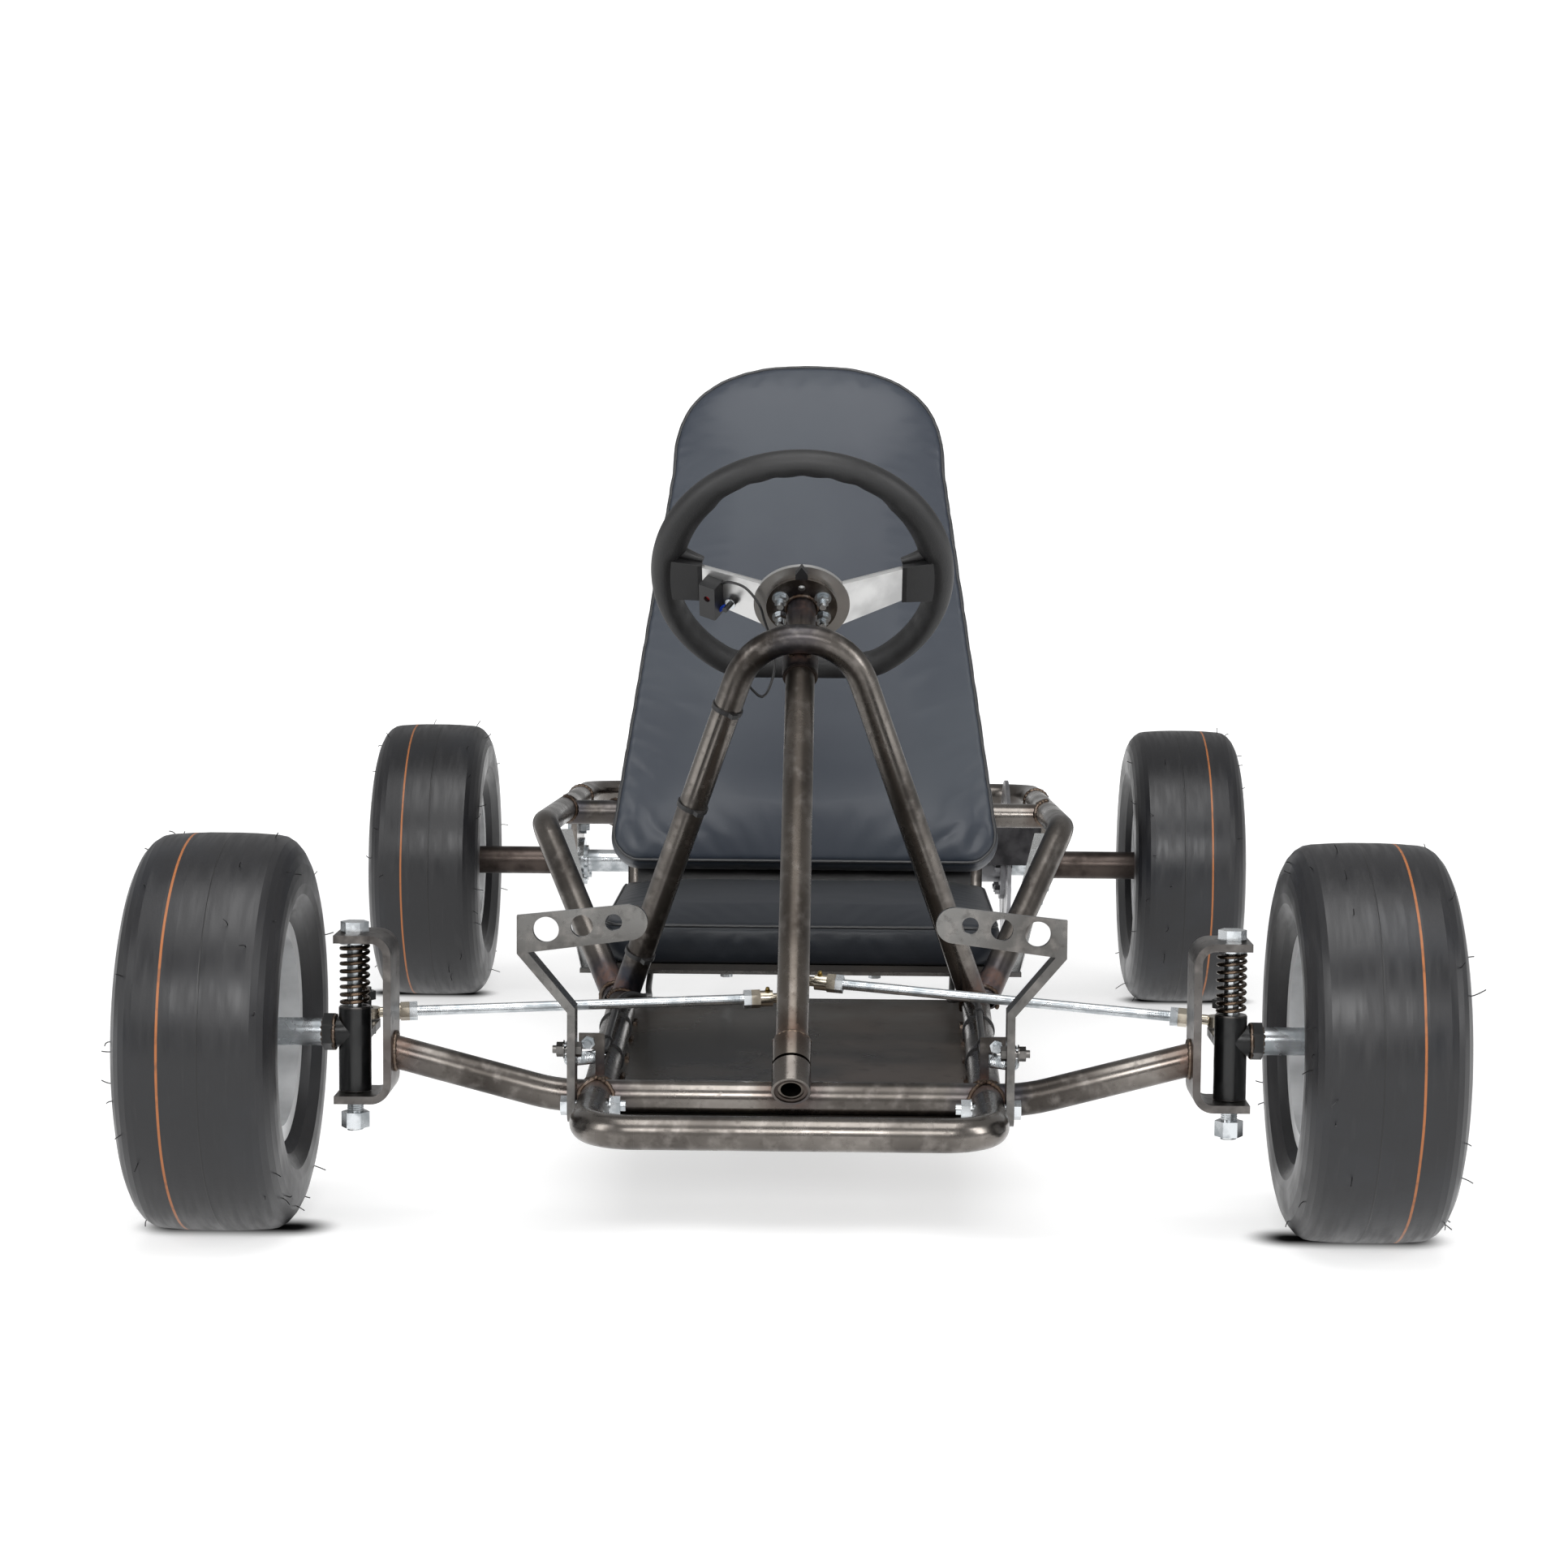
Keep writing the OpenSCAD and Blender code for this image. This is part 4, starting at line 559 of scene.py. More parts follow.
bracket_welds = [(306 * side, 0, 138) for side in (1, -1)]
shaft_welds = [COLUMN_LOW + UP_COLUMN * s for s in (52, 566)]
tube_steel = bare_steel("bare_tube_steel", "7d7873", "3a3633", 0.27, weld_centres, 0.013, 0.55)
plate_steel = bare_steel("bare_plate_steel", "6f6c6a", "454240", 0.36, bracket_welds, 0.014, 0.5)
shaft_steel = bare_steel("bare_shaft_steel", "6f6861", "35302c", 0.28, shaft_welds, 0.012, 0.6)
strip_steel = bare_steel("bare_strip_steel", "737270", "4c4a48", 0.27)
weld_steel = bare_steel("weld_bead", "6a5c51", "362920", 0.4)
spring_steel = bare_steel("spring_steel", "6a5a4c", "2e2620", 0.3)

# %% [markdown]
# ## Floor sheet
# The foot well is closed by a hot-rolled sheet. Its scale is dark and smooth, with a few cloudy marks, and
# mirrors the room at a low angle.

# %% Floor sheet
floor_sheet, tree, shader = new_material("floor_sheet")
cloudy = use(tree, blotches, Scale=6.0, Low=0.4, High=0.75)["Mask"]
specks = use(tree, blotches, Scale=70.0, Low=0.55, High=0.75)["Mask"]
colour = mix(tree, cloudy, rgb("4b4946"), rgb("665d57"))
colour = mix(tree, maths(tree, "MULTIPLY", specks, 0.5), colour, rgb("2a2522"))
tree.links.new(colour, shader.inputs["Base Color"])
tree.links.new(between(tree, cloudy, 0.0, 1.0, 0.26, 0.4), shader.inputs["Roughness"])
shader.inputs["Metallic"].default_value = 0.75

# %% [markdown]
# ## Plated and machined metal
# Bolts, rods and the rear axle are zinc plated: pale, slightly blue and a little uneven. Sprocket and brake
# disc are turned steel, the steering wheel's spokes are satin aluminium, and the rims are painted silver.


# %% Plated and machined metal
def plated(name, colour, dull, roughness=0.22, scale=60.0, metal=1.0):
    """Bright plating that has clouded in places; with less metal it is silver paint."""
    material, tree, shader = new_material(name)
    cloud = use(tree, blotches, Scale=scale, Low=0.38, High=0.68, Detail=5.0)["Mask"]
    tree.links.new(mix(tree, cloud, rgb(colour), rgb(dull)), shader.inputs["Base Color"])
    tree.links.new(between(tree, cloud, 0.0, 1.0, roughness, roughness + 0.16), shader.inputs["Roughness"])
    shader.inputs["Metallic"].default_value = metal
    scuffs = use(tree, drawn_lines, Stretch=(0.3, 1.0, 1.0), Scale=600.0)["Mask"]
    emboss(tree, shader, 0.06, 0.0003, scuffs)
    return material


zinc = plated("zinc_plate", "d3d7da", "a0a6aa")
bright_strip = plated("bright_strip", "d8d9d8", "b4b6b6", 0.14)
nickel = plated("nickel_rod_end", "b9b1a2", "8b8376", 0.2)
turned_steel = plated("turned_steel", "97979a", "6e6e70", 0.26, 30.0)
brass = plated("yellow_plate", "b39c62", "7d6a3c", 0.25)
spoke_alloy = plated("spoke_aluminium", "d2d2d1", "b5b5b5", 0.3, 20.0)
rim_silver = plated("rim_silver", "dadbdc", "c4c5c6", 0.34, 25.0, metal=0.4)
brake_iron = plated("brake_casting", "4c4b4d", "343335", 0.45, 45.0)
dark_sleeve = plated("dark_sleeve", "4f4743", "332d2a", 0.34, 35.0)

# %% [markdown]
# ## Paint, plastic and rubber
# The spindles wear black paint that is rubbed through at the edges. Grip, boots and switch are black, each
# with its own grain: coarse on the grip, fine on the moulded boots.


# %% Black paint
black_paint, tree, shader = new_material("black_paint")
worn = use(tree, worn_edges, Width=0.0011, Amount=0.7)["Mask"]
tree.links.new(mix(tree, worn, rgb("0a0b0c"), rgb("6d6863")), shader.inputs["Base Color"])
dusty = use(tree, blotches, Scale=90.0, Low=0.4, High=0.7)["Mask"]
tree.links.new(between(tree, dusty, 0.0, 1.0, 0.3, 0.46), shader.inputs["Roughness"])
tree.links.new(worn, shader.inputs["Metallic"])
peel = use(tree, grain, Scale=420.0, Creases=0.8)["Height"]
emboss(tree, shader, 0.12, 0.0004, peel)


# %% Plastics and rubber
def moulded(name, colour, dusty_colour, roughness, scale, strength):
    """A moulded finish: one colour with a little dust in it, and a grain."""
    material, tree, shader = new_material(name)
    dust = use(tree, blotches, Scale=35.0, Low=0.4, High=0.75)["Mask"]
    tree.links.new(mix(tree, dust, rgb(colour), rgb(dusty_colour)), shader.inputs["Base Color"])
    tree.links.new(between(tree, dust, 0.0, 1.0, roughness, roughness + 0.1), shader.inputs["Roughness"])
    height = use(tree, grain, Scale=scale, Creases=0.4)["Height"]
    emboss(tree, shader, strength, 0.0004, height)
    return material


grip_rubber = moulded("grip_rubber", "141415", "1c1c1d", 0.48, 900.0, 0.5)
black_plastic = moulded("black_plastic", "161617", "202021", 0.4, 1500.0, 0.15)
cable_sheath = moulded("cable_sheath", "121213", "1b1b1c", 0.38, 1200.0, 0.1)
red_plastic = moulded("red_plastic", "a81e22", "8f1a1e", 0.3, 1500.0, 0.05)
blue_sleeve = moulded("blue_sleeve", "1d3fa6", "17348c", 0.3, 1500.0, 0.05)
# The boards' colour is near black.
plywood = moulded("stained_plywood", "1f1b18", "29231e", 0.6, 300.0, 0.3)
piping_vinyl = moulded("piping_vinyl", "232426", "2d2e30", 0.34, 1500.0, 0.1)

# %% [markdown]
# ## Vinyl
# The seat is covered in smooth black vinyl. It has a soft sheen and a leather grain too fine to see from a
# step away, and broad shallow waves where the cover is stretched over foam. The one vinyl comes in two
# copies: the backrest's cover is painted a little paler and bluer as painted light, and the cushion's darker
# as painted shade.

# %% Vinyl
def vinyl(name, dark, pale, gloss):
    """Smooth vinyl over foam; gloss is its specular level."""
    material, tree, shader = new_material(name)
    cloudy = use(tree, blotches, Scale=5.0, Low=0.35, High=0.75)["Mask"]
    tree.links.new(mix(tree, cloudy, rgb(dark), rgb(pale)), shader.inputs["Base Color"])
    tree.links.new(between(tree, cloudy, 0.0, 1.0, 0.38, 0.46), shader.inputs["Roughness"])
    leather = use(tree, grain, Scale=1100.0, Creases=0.35)["Height"]
    fine = node(tree, "Bump", {"Strength": 0.16, "Distance": 0.0003, "Height": leather}).outputs[0]
    wave = use(tree, blotches, Scale=9.0, Low=0.2, High=0.8, Detail=1.0)["Mask"]
    broad = node(tree, "Bump", {"Strength": 0.18, "Distance": 0.002, "Height": wave, "Normal": fine})
    tree.links.new(broad.outputs[0], shader.inputs["Normal"])
    shader.inputs["Sheen Weight"].default_value = 0.05
    shader.inputs["Specular IOR Level"].default_value = gloss
    return material


# Lit and shaded copies of one vinyl: the cushion's colour is painted shade, the backrest's painted light.
black_vinyl = vinyl("black_vinyl", "171b21", "1d2128", 0.28)
back_vinyl = vinyl("back_vinyl", "272d37", "31373f", 0.46)

# %% [markdown]
# ## Tyres
# Slick kart tyres are plain black rubber. What shows is a thin orange stripe that the maker runs round the
# tread, the line where the halves of the mould met, and scuffs along the tread. Each wheel's material knows
# where its middle is, because the pattern is measured across the wheel.

# %% Tyres
STRIPE = 0.0215
MOULD_LINE = -0.008


def tyre_rubber(name, middle, side):
    """Rubber for a tyre whose middle stands at x = middle; side is 1 on the driver's left."""
    material, tree, shader = new_material(name)
    where = node(tree, "TexCoord").outputs["Object"]
    x = node(tree, "SeparateXYZ", {0: where}).outputs[0]
    across = maths(tree, "MULTIPLY", maths(tree, "SUBTRACT", x, middle), side)
    wander = node(tree, "TexNoise", {"Vector": where, "Scale": 9.0}).outputs[0]
    across = maths(tree, "ADD", across, maths(tree, "MULTIPLY", maths(tree, "SUBTRACT", wander, 0.5), 0.0016))
    off_stripe = maths(tree, "ABSOLUTE", maths(tree, "SUBTRACT", across, STRIPE))
    stripe = between(tree, off_stripe, 0.00115, 0.0007)
    faded = use(tree, blotches, Scale=110.0, Low=0.25, High=0.5)["Mask"]
    stripe = maths(tree, "MULTIPLY", stripe, maths(tree, "ADD", maths(tree, "MULTIPLY", faded, 0.35), 0.6))
    scuff = use(tree, drawn_lines, Stretch=(1.0, 0.12, 0.12), Scale=190.0)["Mask"]
    bloom = use(tree, blotches, Scale=11.0, Low=0.45, High=0.75)["Mask"]
    off_line = maths(tree, "ABSOLUTE", maths(tree, "SUBTRACT", across, MOULD_LINE))
    ridge = between(tree, off_line, 0.0009, 0.0003)
    colour = mix(tree, bloom, rgb("121215"), rgb("181a1f"))
    colour = mix(tree, between(tree, scuff, 0.55, 0.8, 0.0, 0.35), colour, rgb("2e2d2e"))
    colour = mix(tree, maths(tree, "MULTIPLY", ridge, 0.75), colour, rgb("070708"))
    colour = mix(tree, stripe, colour, rgb("985a2c"))
    tree.links.new(colour, shader.inputs["Base Color"])
    dull = between(tree, scuff, 0.3, 0.8, 0.33, 0.5)
    rough = maths(tree, "ADD", dull, maths(tree, "MULTIPLY", bloom, -0.06))
    tree.links.new(rough, shader.inputs["Roughness"])
    skin = use(tree, grain, Scale=520.0, Creases=0.7)["Height"]
    height = maths(tree, "ADD", maths(tree, "MULTIPLY", skin, 0.25), ridge)
    emboss(tree, shader, 0.5, 0.0005, height)
    return material


FRONT_X, REAR_X = 438, 420
tyre_left = tyre_rubber("front_tyre_rubber_left", FRONT_X * MM, 1)
tyre_right = tyre_rubber("front_tyre_rubber_right", -FRONT_X * MM, -1)


def rear_tyre_rubber():
    """Both rear tyres are one CAD node, so the side comes from the sign of x."""
    material = tyre_rubber("rear_tyre_rubber", REAR_X * MM, 1)
    tree = material.node_tree
    split = next(n for n in tree.nodes if n.bl_idname == "ShaderNodeSeparateXYZ")
    for link in list(split.outputs[0].links):
        tree.links.new(maths(tree, "ABSOLUTE", split.outputs[0]), link.to_socket)
    return material


tyre_rear = rear_tyre_rubber()

# %% [markdown]
# ## Materials onto the CAD nodes
# A CAD node whose shape is right stays as it is and only gets its finish.

# %% Dress the CAD nodes
finishes = {
    tube_steel: ["front_beam", "front_bumper", "side_rails", "side_tubes", "rear_loop", "rear_cross_tubes"]
    + ["steering_hoop", "column_collars", "backrest_frame", "axle_hangers", "engine_plate"],
    plate_steel: ["kingpin_brackets", "thrust_washer_left", "thrust_washer_right"],
    shaft_steel: ["steering_shaft", "pitman_arm"],
    floor_sheet: ["floor_pan"],
    strip_steel: ["seat_bars", "throttle_pedal", "brake_pedal"],
    zinc: ["axle_bearings", "kingpin_bolts", "pedal_pivot_bolts", "frame_bolts", "hub_bolts", "rear_axle"]
    + ["brake_lever", "throttle_return", "brake_return", "tie_rod_left", "tie_rod_right"],
    bright_strip: ["side_stays"],
    dark_sleeve: ["column_bushes"],
    plywood: ["seat_board", "backrest_board"],
    black_vinyl: ["seat_cushion"],
    back_vinyl: ["backrest_pad"],
    brake_iron: ["brake_caliper"],
    black_plastic: ["control_cables", "cable_ties", "hub_pointer", "kill_switch", "spoke_boots"],
    red_plastic: ["kill_button"],
    spring_steel: ["kingpin_spring_left", "kingpin_spring_right"],
    grip_rubber: ["steering_rim"],
    spoke_alloy: ["spoke_plate"],
    rim_silver: ["front_rim_left", "front_rim_right", "rear_rims"],
    brass: ["rod_ball_left", "rod_ball_right"],
    black_paint: ["spindle_left", "spindle_right"],
    tyre_left: ["front_tyre_left"],
    tyre_right: ["front_tyre_right"],
    tyre_rear: ["rear_tyres"],
    turned_steel: ["sprocket", "brake_disc"],
}


def second_finish(name, material, belongs):
    """Gives the faces of one node whose middle passes the test another material."""
    mesh = nodes[name].data
    mesh.materials.append(material)
    turned_on = 0
    for face in mesh.polygons:
        middle = Vector(face.center) / MM - Vector((0, FRONT_AXLE_Y, 0))
        if belongs(middle):
            face.material_index = len(mesh.materials) - 1
            turned_on += 1
    print(name, "has", turned_on, "faces in", material.name)


dressed = set()
for material, names in finishes.items():
    for name in names:
        nodes[name].data.materials.clear()
        nodes[name].data.materials.append(material)
        dressed.add(name)
print("dressed", len(dressed), "of", len(nodes), "left plain:", sorted(set(nodes) - dressed))


def off_axle(p):
    """How far a point lies from the rear axle's line."""
    return math.hypot(p.y - WHEELBASE, p.z - AXLE_Z)


def rod_balls(side):
    """Where the inner and the outer ball of one tie rod sit."""
    inner = COLUMN_LOW + UP_COLUMN * (143 + side * 9.9) - UP_WHEEL * 36
    return inner, Vector((KINGPIN_X * side, 60, 158.4))


second_finish("rear_axle", dark_sleeve, lambda p: 12.7 < off_axle(p) < 15.6 and 225 < abs(p.x) < 392)
for side, word in SIDES:
    ends = rod_balls(side)
    second_finish("tie_rod_" + word, nickel, lambda p: min((p - end).length for end in ends) < 33.2)
    second_finish("spindle_" + word, zinc, lambda p: abs(p.x) > 363.5)

# %% [markdown]
# ## Weld beads
# A torch lays the bead in small dabs, so it ripples. Each line of the list above becomes a thin worm whose
# thickness swells with every dab. The beads of the frame are one piece, and those on the steering shaft and
# the spindles ride on their own bodies.


# %% Weld beads
rng = random.Random(11)


def even_steps(points, step, closed=False):
    """The same line with a point at every step."""
    line = [Vector(p) for p in points] + ([Vector(points[0])] if closed else [])
    along = np.concatenate([[0.0], np.cumsum([(b - a).length for a, b in zip(line, line[1:])])])
    count = max(int(along[-1] / step), 8)
    marks = np.linspace(0, along[-1], count, endpoint=not closed)
    places = np.array([list(p) for p in line])
    return [Vector([float(np.interp(m, along, places[:, k])) for k in range(3)]) for m in marks]


def bead(name, points, radius=2.0, closed=True):
    """One rippled weld bead; points and radius are in millimetres."""
    places = even_steps(points, 1.3, closed)
    obj = wire(name, metres(places), radius * MM, closed, sides=2)
    for i, knot in enumerate(obj.data.splines[0].points):
        ripple = 1.0 + 0.13 * math.sin(i * 2 * math.pi / 3.3) + rng.uniform(-0.07, 0.07)
        knot.radius = ripple
        knot.co = (*(Vector(knot.co[:3]) + Vector([rng.uniform(-0.2, 0.2) * MM for _ in range(3)])), 1)
    return as_mesh(obj)


beads = [bead("bead", points, closed=closed) for points, closed in weld_lines]
for x in ENGINE_RAILS:
    for y in (1274, 1384):
        for dx in (-9.5, 9.5):
            line = [Vector((x + dx, y - 8 + t, 235.3)) for t in range(0, 17, 2)]
            beads.append(bead("plate_tack", line, 1.6, closed=False))
for side in (1, -1):
    for y in (60, 150, 240, 330, 420):
        x = (rail_x(y) - TUBE_R - 0.6) * side
        line = [Vector((x, y + t, 93.6)) for t in range(-9, 10, 3)]
        beads.append(bead("pan_tack", line, 1.9, closed=False))
frame_beads = settle(join(beads, "frame_weld_beads"), "chassis", weld_steel, smooth=60)
print("frame beads:", len(frame_beads.data.polygons), "faces")

# %% Beads on the moving pieces
shaft_beads = [
    bead("shaft_bead", circle(COLUMN_LOW + UP_COLUMN * s, UP_COLUMN, r), w)
    for s, r, w in ((50.0, 13.6, 1.7), (578.4, 13.7, 2.0))
]
settle(join(shaft_beads, "shaft_weld_beads"), "steering", weld_steel, smooth=60)
for side, word in SIDES:
    hub = [
        bead("hex_bead", circle(Vector((x * side, 0, AXLE_Z)), ALONG_X, r), 1.6)
        for x, r in ((352.4, 12.6), (361.2, 9.6))
    ]
    settle(join(hub, "spindle_weld_beads_" + word), "spindle_" + word, weld_steel, 60)

# %% [markdown]
# ## Seat pads
# Both pads are foam on a board, under a sewn vinyl cover. The cover is two panels: a face, and a band round
# the side, with a corded seam where they meet. Each pad starts from its CAD solid. Gas pressure swells the
# cover while the seam and the board hold it, and this draws the sides in as real foam does.

# %% Helpers for pads
BACK_BASE = Vector((0, 810, 195))
LEAN = math.radians(20.3)
UP_BACK = Vector((0, math.sin(LEAN), math.cos(LEAN)))
OUT_OF_BACK = Vector((0, -math.cos(LEAN), math.sin(LEAN)))
SEAT_MIDDLE = Vector((0, 712, 128))
VOXEL = 0.005
PRESSURE = 4.0
MOST_SWELL = 0.006
REST_DEPTH = 0.004


def on_back(x, s, depth=0.0):
    """x across, s up the backrest, depth behind its front face, all in millimetres."""
    return BACK_BASE + Vector((x, 0, 0)) + UP_BACK * s - OUT_OF_BACK * depth


def seat_outline(inset, z):
    """The cushion's edge seen from above: rounded corners and slightly drawn-in sides."""
    w, l = 378 - 2 * inset, 334 - 2 * inset
    r = max(30 - inset * 0.2, 8)
    line = []
    for q, (cx, cy) in enumerate(((1, 1), (-1, 1), (-1, -1), (1, -1))):
        for i in range(13):
            a = math.radians(90 * q + 7.5 * i)
            x, y = cx * (w / 2 - r) + r * math.cos(a), cy * (l / 2 - r) + r * math.sin(a)
            pull_x = 1 - 0.012 * math.cos(math.pi * y / l) ** 2
            pull_y = 1 - 0.012 * math.cos(math.pi * x / w) ** 2
            line.append(SEAT_MIDDLE + Vector((x * pull_x, y * pull_y, z)))
    return line


def back_outline(inset, depth):
    """The backrest's edge: straight tapering sides, rounded feet and a broad rounded head."""
    half = lambda s: 199 + 4 - 0.137 * s
    edge = [(half(30) - 30 + 30 * math.sin(a), 30 - 30 * math.cos(a)) for a in np.radians(range(0, 91, 15))]
    edge += [(half(s), s) for s in range(130, 431, 100)]
    for k in range(19):
        t = 1 - (1 - k / 18) ** 1.8
        edge.append((half(430) * (1 - t**2.6) ** (1 / 2.4), 430 + 118 * t))
    kx, ky, c = 1 - 2 * inset / 398, 1 - 2 * inset / 548, 548 * 0.47
    edge = [(x * kx, c + (s - c) * ky) for x, s in edge if x > 0.5]
    edge += [(0, c + (548 - c) * ky)] + [(-x, s) for x, s in reversed(edge)]
    return [on_back(x, s, depth) for x, s in edge]


def gap_to(places, line, share):
    """The distance of every place from the nearest point of a line, worked out a share at a time."""
    gap = np.full(len(places), 9.0)
    for block in np.array_split(line, max(len(line) // share, 1)):
        gap = np.minimum(gap, np.linalg.norm(places[:, None, :] - block[None, :, :], axis=2).min(1))
    return gap


def swell(node_name, name, out, seam_line):
    """A swollen copy of a pad. out points away from the board; the seam holds its place."""
    pad = nodes[node_name].copy()
    pad.data = pad.data.copy()
    bpy.context.scene.collection.objects.link(pad)
    pad.parent = None
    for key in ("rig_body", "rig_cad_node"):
        if key in pad:
            del pad[key]
    pad.name = name
    only(pad)
    bpy.ops.object.mode_set(mode="EDIT")
    bpy.ops.mesh.select_all(action="SELECT")
    bpy.ops.mesh.remove_doubles(threshold=0.0002)
    bpy.ops.object.mode_set(mode="OBJECT")
    remesh = pad.modifiers.new("even", "REMESH")
    remesh.mode = "VOXEL"
    remesh.voxel_size = VOXEL
    apply_modifiers(pad)
    start = np.array([list(v.co) for v in pad.data.vertices])
    seam = np.array([list(p) for p in metres(even_steps(seam_line, 3.0, True))])
    height = start @ np.array(list(out))
    held = height < height.min() + REST_DEPTH
    gap = gap_to(start, seam, 200)
    group = pad.vertex_groups.new(name="held")
    group.add([int(i) for i in np.nonzero(held | (gap < 0.0045))[0]], 1.0, "REPLACE")
    cloth = pad.modifiers.new("cover", "CLOTH")
    cloth.settings.quality = 6
    cloth.settings.mass = 0.25
    cloth.settings.tension_stiffness = 12
    cloth.settings.compression_stiffness = 12
    cloth.settings.shear_stiffness = 4
    cloth.settings.bending_stiffness = 0.8
    cloth.settings.effector_weights.gravity = 0
    cloth.settings.use_pressure = True
    cloth.settings.uniform_pressure_force = PRESSURE
    cloth.settings.vertex_group_mass = "held"
    cloth.settings.shrink_min = -0.004
    cloth.point_cache.frame_start = 1
    cloth.point_cache.frame_end = 20
    for step in range(1, 21):
        bpy.context.scene.frame_set(step)
    apply_modifiers(pad)
    bpy.context.scene.frame_set(1)
    moved = np.array([list(v.co) for v in pad.data.vertices]) - start
    far = np.linalg.norm(moved, axis=1)
    scale = np.minimum(1.0, MOST_SWELL / np.maximum(far, 1e-9))
    for v, place in zip(pad.data.vertices, start + moved * scale[:, None]):
        v.co = place
    print(name, "moved up to", round(float((far * scale).max()) * 1000, 1), "mm")
    return pad, seam


def sewn(pad, groove, depth=0.0016):
    """Draws the cover in along the seam, then gives it one more subdivision."""
    finer = pad.modifiers.new("finer", "SUBSURF")
    finer.levels = finer.render_levels = 1
    apply_modifiers(pad)
    places = np.array([list(v.co) for v in pad.data.vertices])
    normals = np.array([list(v.normal) for v in pad.data.vertices])
    sink = depth * np.exp(-((gap_to(places, groove, 60) / 0.003) ** 2))
    for v, place in zip(pad.data.vertices, places - normals * sink[:, None]):
        v.co = place


def on_surface(pad, points, lift):
    """The points, moved to the pad's surface and then out from it."""
    found = []
    for p in points:
        _, place, normal, _ = pad.closest_point_on_mesh(kart(*p))
        found.append(place + normal * lift)
    return found


# %% [markdown]
# ## Backrest
# The face is almost flat and rolls over at the edge. A thin welt runs all the way round, a few millimetres
# in from the outline, and catches a line of light along the foot.

# %% Backrest pad
back_seam = back_outline(2.0, 45 * (1 - 0.86))
backrest, groove = swell("backrest_pad", "backrest_cover", OUT_OF_BACK, back_seam)
sewn(backrest, groove)
settle(backrest, "chassis", back_vinyl, smooth=None)
only(backrest)
bpy.ops.object.shade_smooth()
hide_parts("backrest_pad")
welt_line = on_surface(backrest, even_steps(back_seam, 5.0, True), 0.0006)
welt = wire_mesh("backrest_welt", welt_line, 0.0019, True)
settle(welt, "chassis", piping_vinyl, smooth=60)
print("backrest cover:", len(backrest.data.polygons), "faces")

# %% [markdown]
# ## Painted shade under the backrest
# A thin black strip stands for the shade in the gap between the foot of the backrest and the cushion: painted
# shade. A sawn strip is one of the few shapes that a cube is a fair start for: it is stretched to size and
# its edges are rounded.

# %% Painted shade strip
# A black strip put where there is only shade: painted shade.
bpy.ops.mesh.primitive_cube_add(size=1)
shade_strip = bpy.context.object
shade_strip.name = "backrest_foot_batten"
for v in shade_strip.data.vertices:
    v.co = kart(*on_back(v.co.x * 344, -5 + v.co.y * 24, 49.5 + v.co.z * 6))
bevel = shade_strip.modifiers.new("edge", "BEVEL")
bevel.width = 0.0012
bevel.segments = 2
apply_modifiers(shade_strip)
settle(shade_strip, "chassis", black_plastic, smooth=40)

# %% [markdown]
# ## Seat cushion
# The cushion's cover has its seam along the upper edge, so that from the front a plain band shows below it.

# %% Seat cushion
seat_seam = seat_outline(2.0, 44 * 0.86)
cushion, groove = swell("seat_cushion", "seat_cover", Vector((0, 0, 1)), seat_seam)
sewn(cushion, groove, depth=0.0022)
settle(cushion, "chassis", black_vinyl, smooth=None)
only(cushion)
bpy.ops.object.shade_smooth()
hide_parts("seat_cushion")
welt_line = on_surface(cushion, even_steps(seat_seam, 5.0, True), 0.0004)
welt = wire_mesh("seat_welt", welt_line, 0.0016, True)
settle(welt, "chassis", piping_vinyl, smooth=60)
print("seat cover:", len(cushion.data.polygons), "faces")

# %% [markdown]
# ## Steering wheel grip
# The grip is foam rubber moulded over a steel ring. Above each spoke it swells inwards as a rest for the
# palm, and shallow scallops for the fingers run along its front. No primitive has a section that changes
# along a ring, so the tube is laid out point by point.

# %% Grip
RIM_R = 124.75
RIM_FLAT = 107.75
CORNER_R = 40
CORNER_Y = RIM_FLAT - CORNER_R
CORNER_X = math.sqrt((RIM_R - CORNER_R) ** 2 - CORNER_Y**2)
CORNER_A = math.atan2(CORNER_Y, CORNER_X)
SECTION_POINTS = 28
SPOKES_AT = 579


def on_wheel(x, y, z, s=626.0):
    """A place in the steering wheel's own frame: x across, y up, z along the column towards the driver."""
    return COLUMN_LOW + UP_COLUMN * (s + z) + Vector((x, 0, 0)) + UP_WHEEL * y


def rim_corner(side, a):
    """A place on the rounded corner between the ring's round and its flat foot."""
    return side * CORNER_X + CORNER_R * math.cos(a), -CORNER_Y + CORNER_R * math.sin(a), a


turn_left = math.pi / 2 - CORNER_A
round_part = np.linspace(-CORNER_A, math.pi + CORNER_A, 200)
ring = [(RIM_R * math.cos(a), RIM_R * math.sin(a), a) for a in round_part]
ring += [rim_corner(-1, math.pi + CORNER_A + turn_left * i / 11) for i in range(1, 12)]
ring += [(-CORNER_X + 2 * CORNER_X * i / 20, -RIM_FLAT, 1.5 * math.pi) for i in range(1, 20)]
ring += [rim_corner(1, 1.5 * math.pi + turn_left * i / 12) for i in range(12)]
palm_from, palm_to = math.radians(10), math.radians(52)
finger_marks = [math.radians(a) for a in (66, 78, 90, 102, 114, -18, -27, -36, 198, 207, 216)]


def finger_depth(around):
    """How deep the finger scallops are at this angle of the ring, from 0 to 1."""
    away = [(around - m + math.pi) % (2 * math.pi) - math.pi for m in finger_marks]
    return sum(math.exp(-((a / 0.055) ** 2)) for a in away)


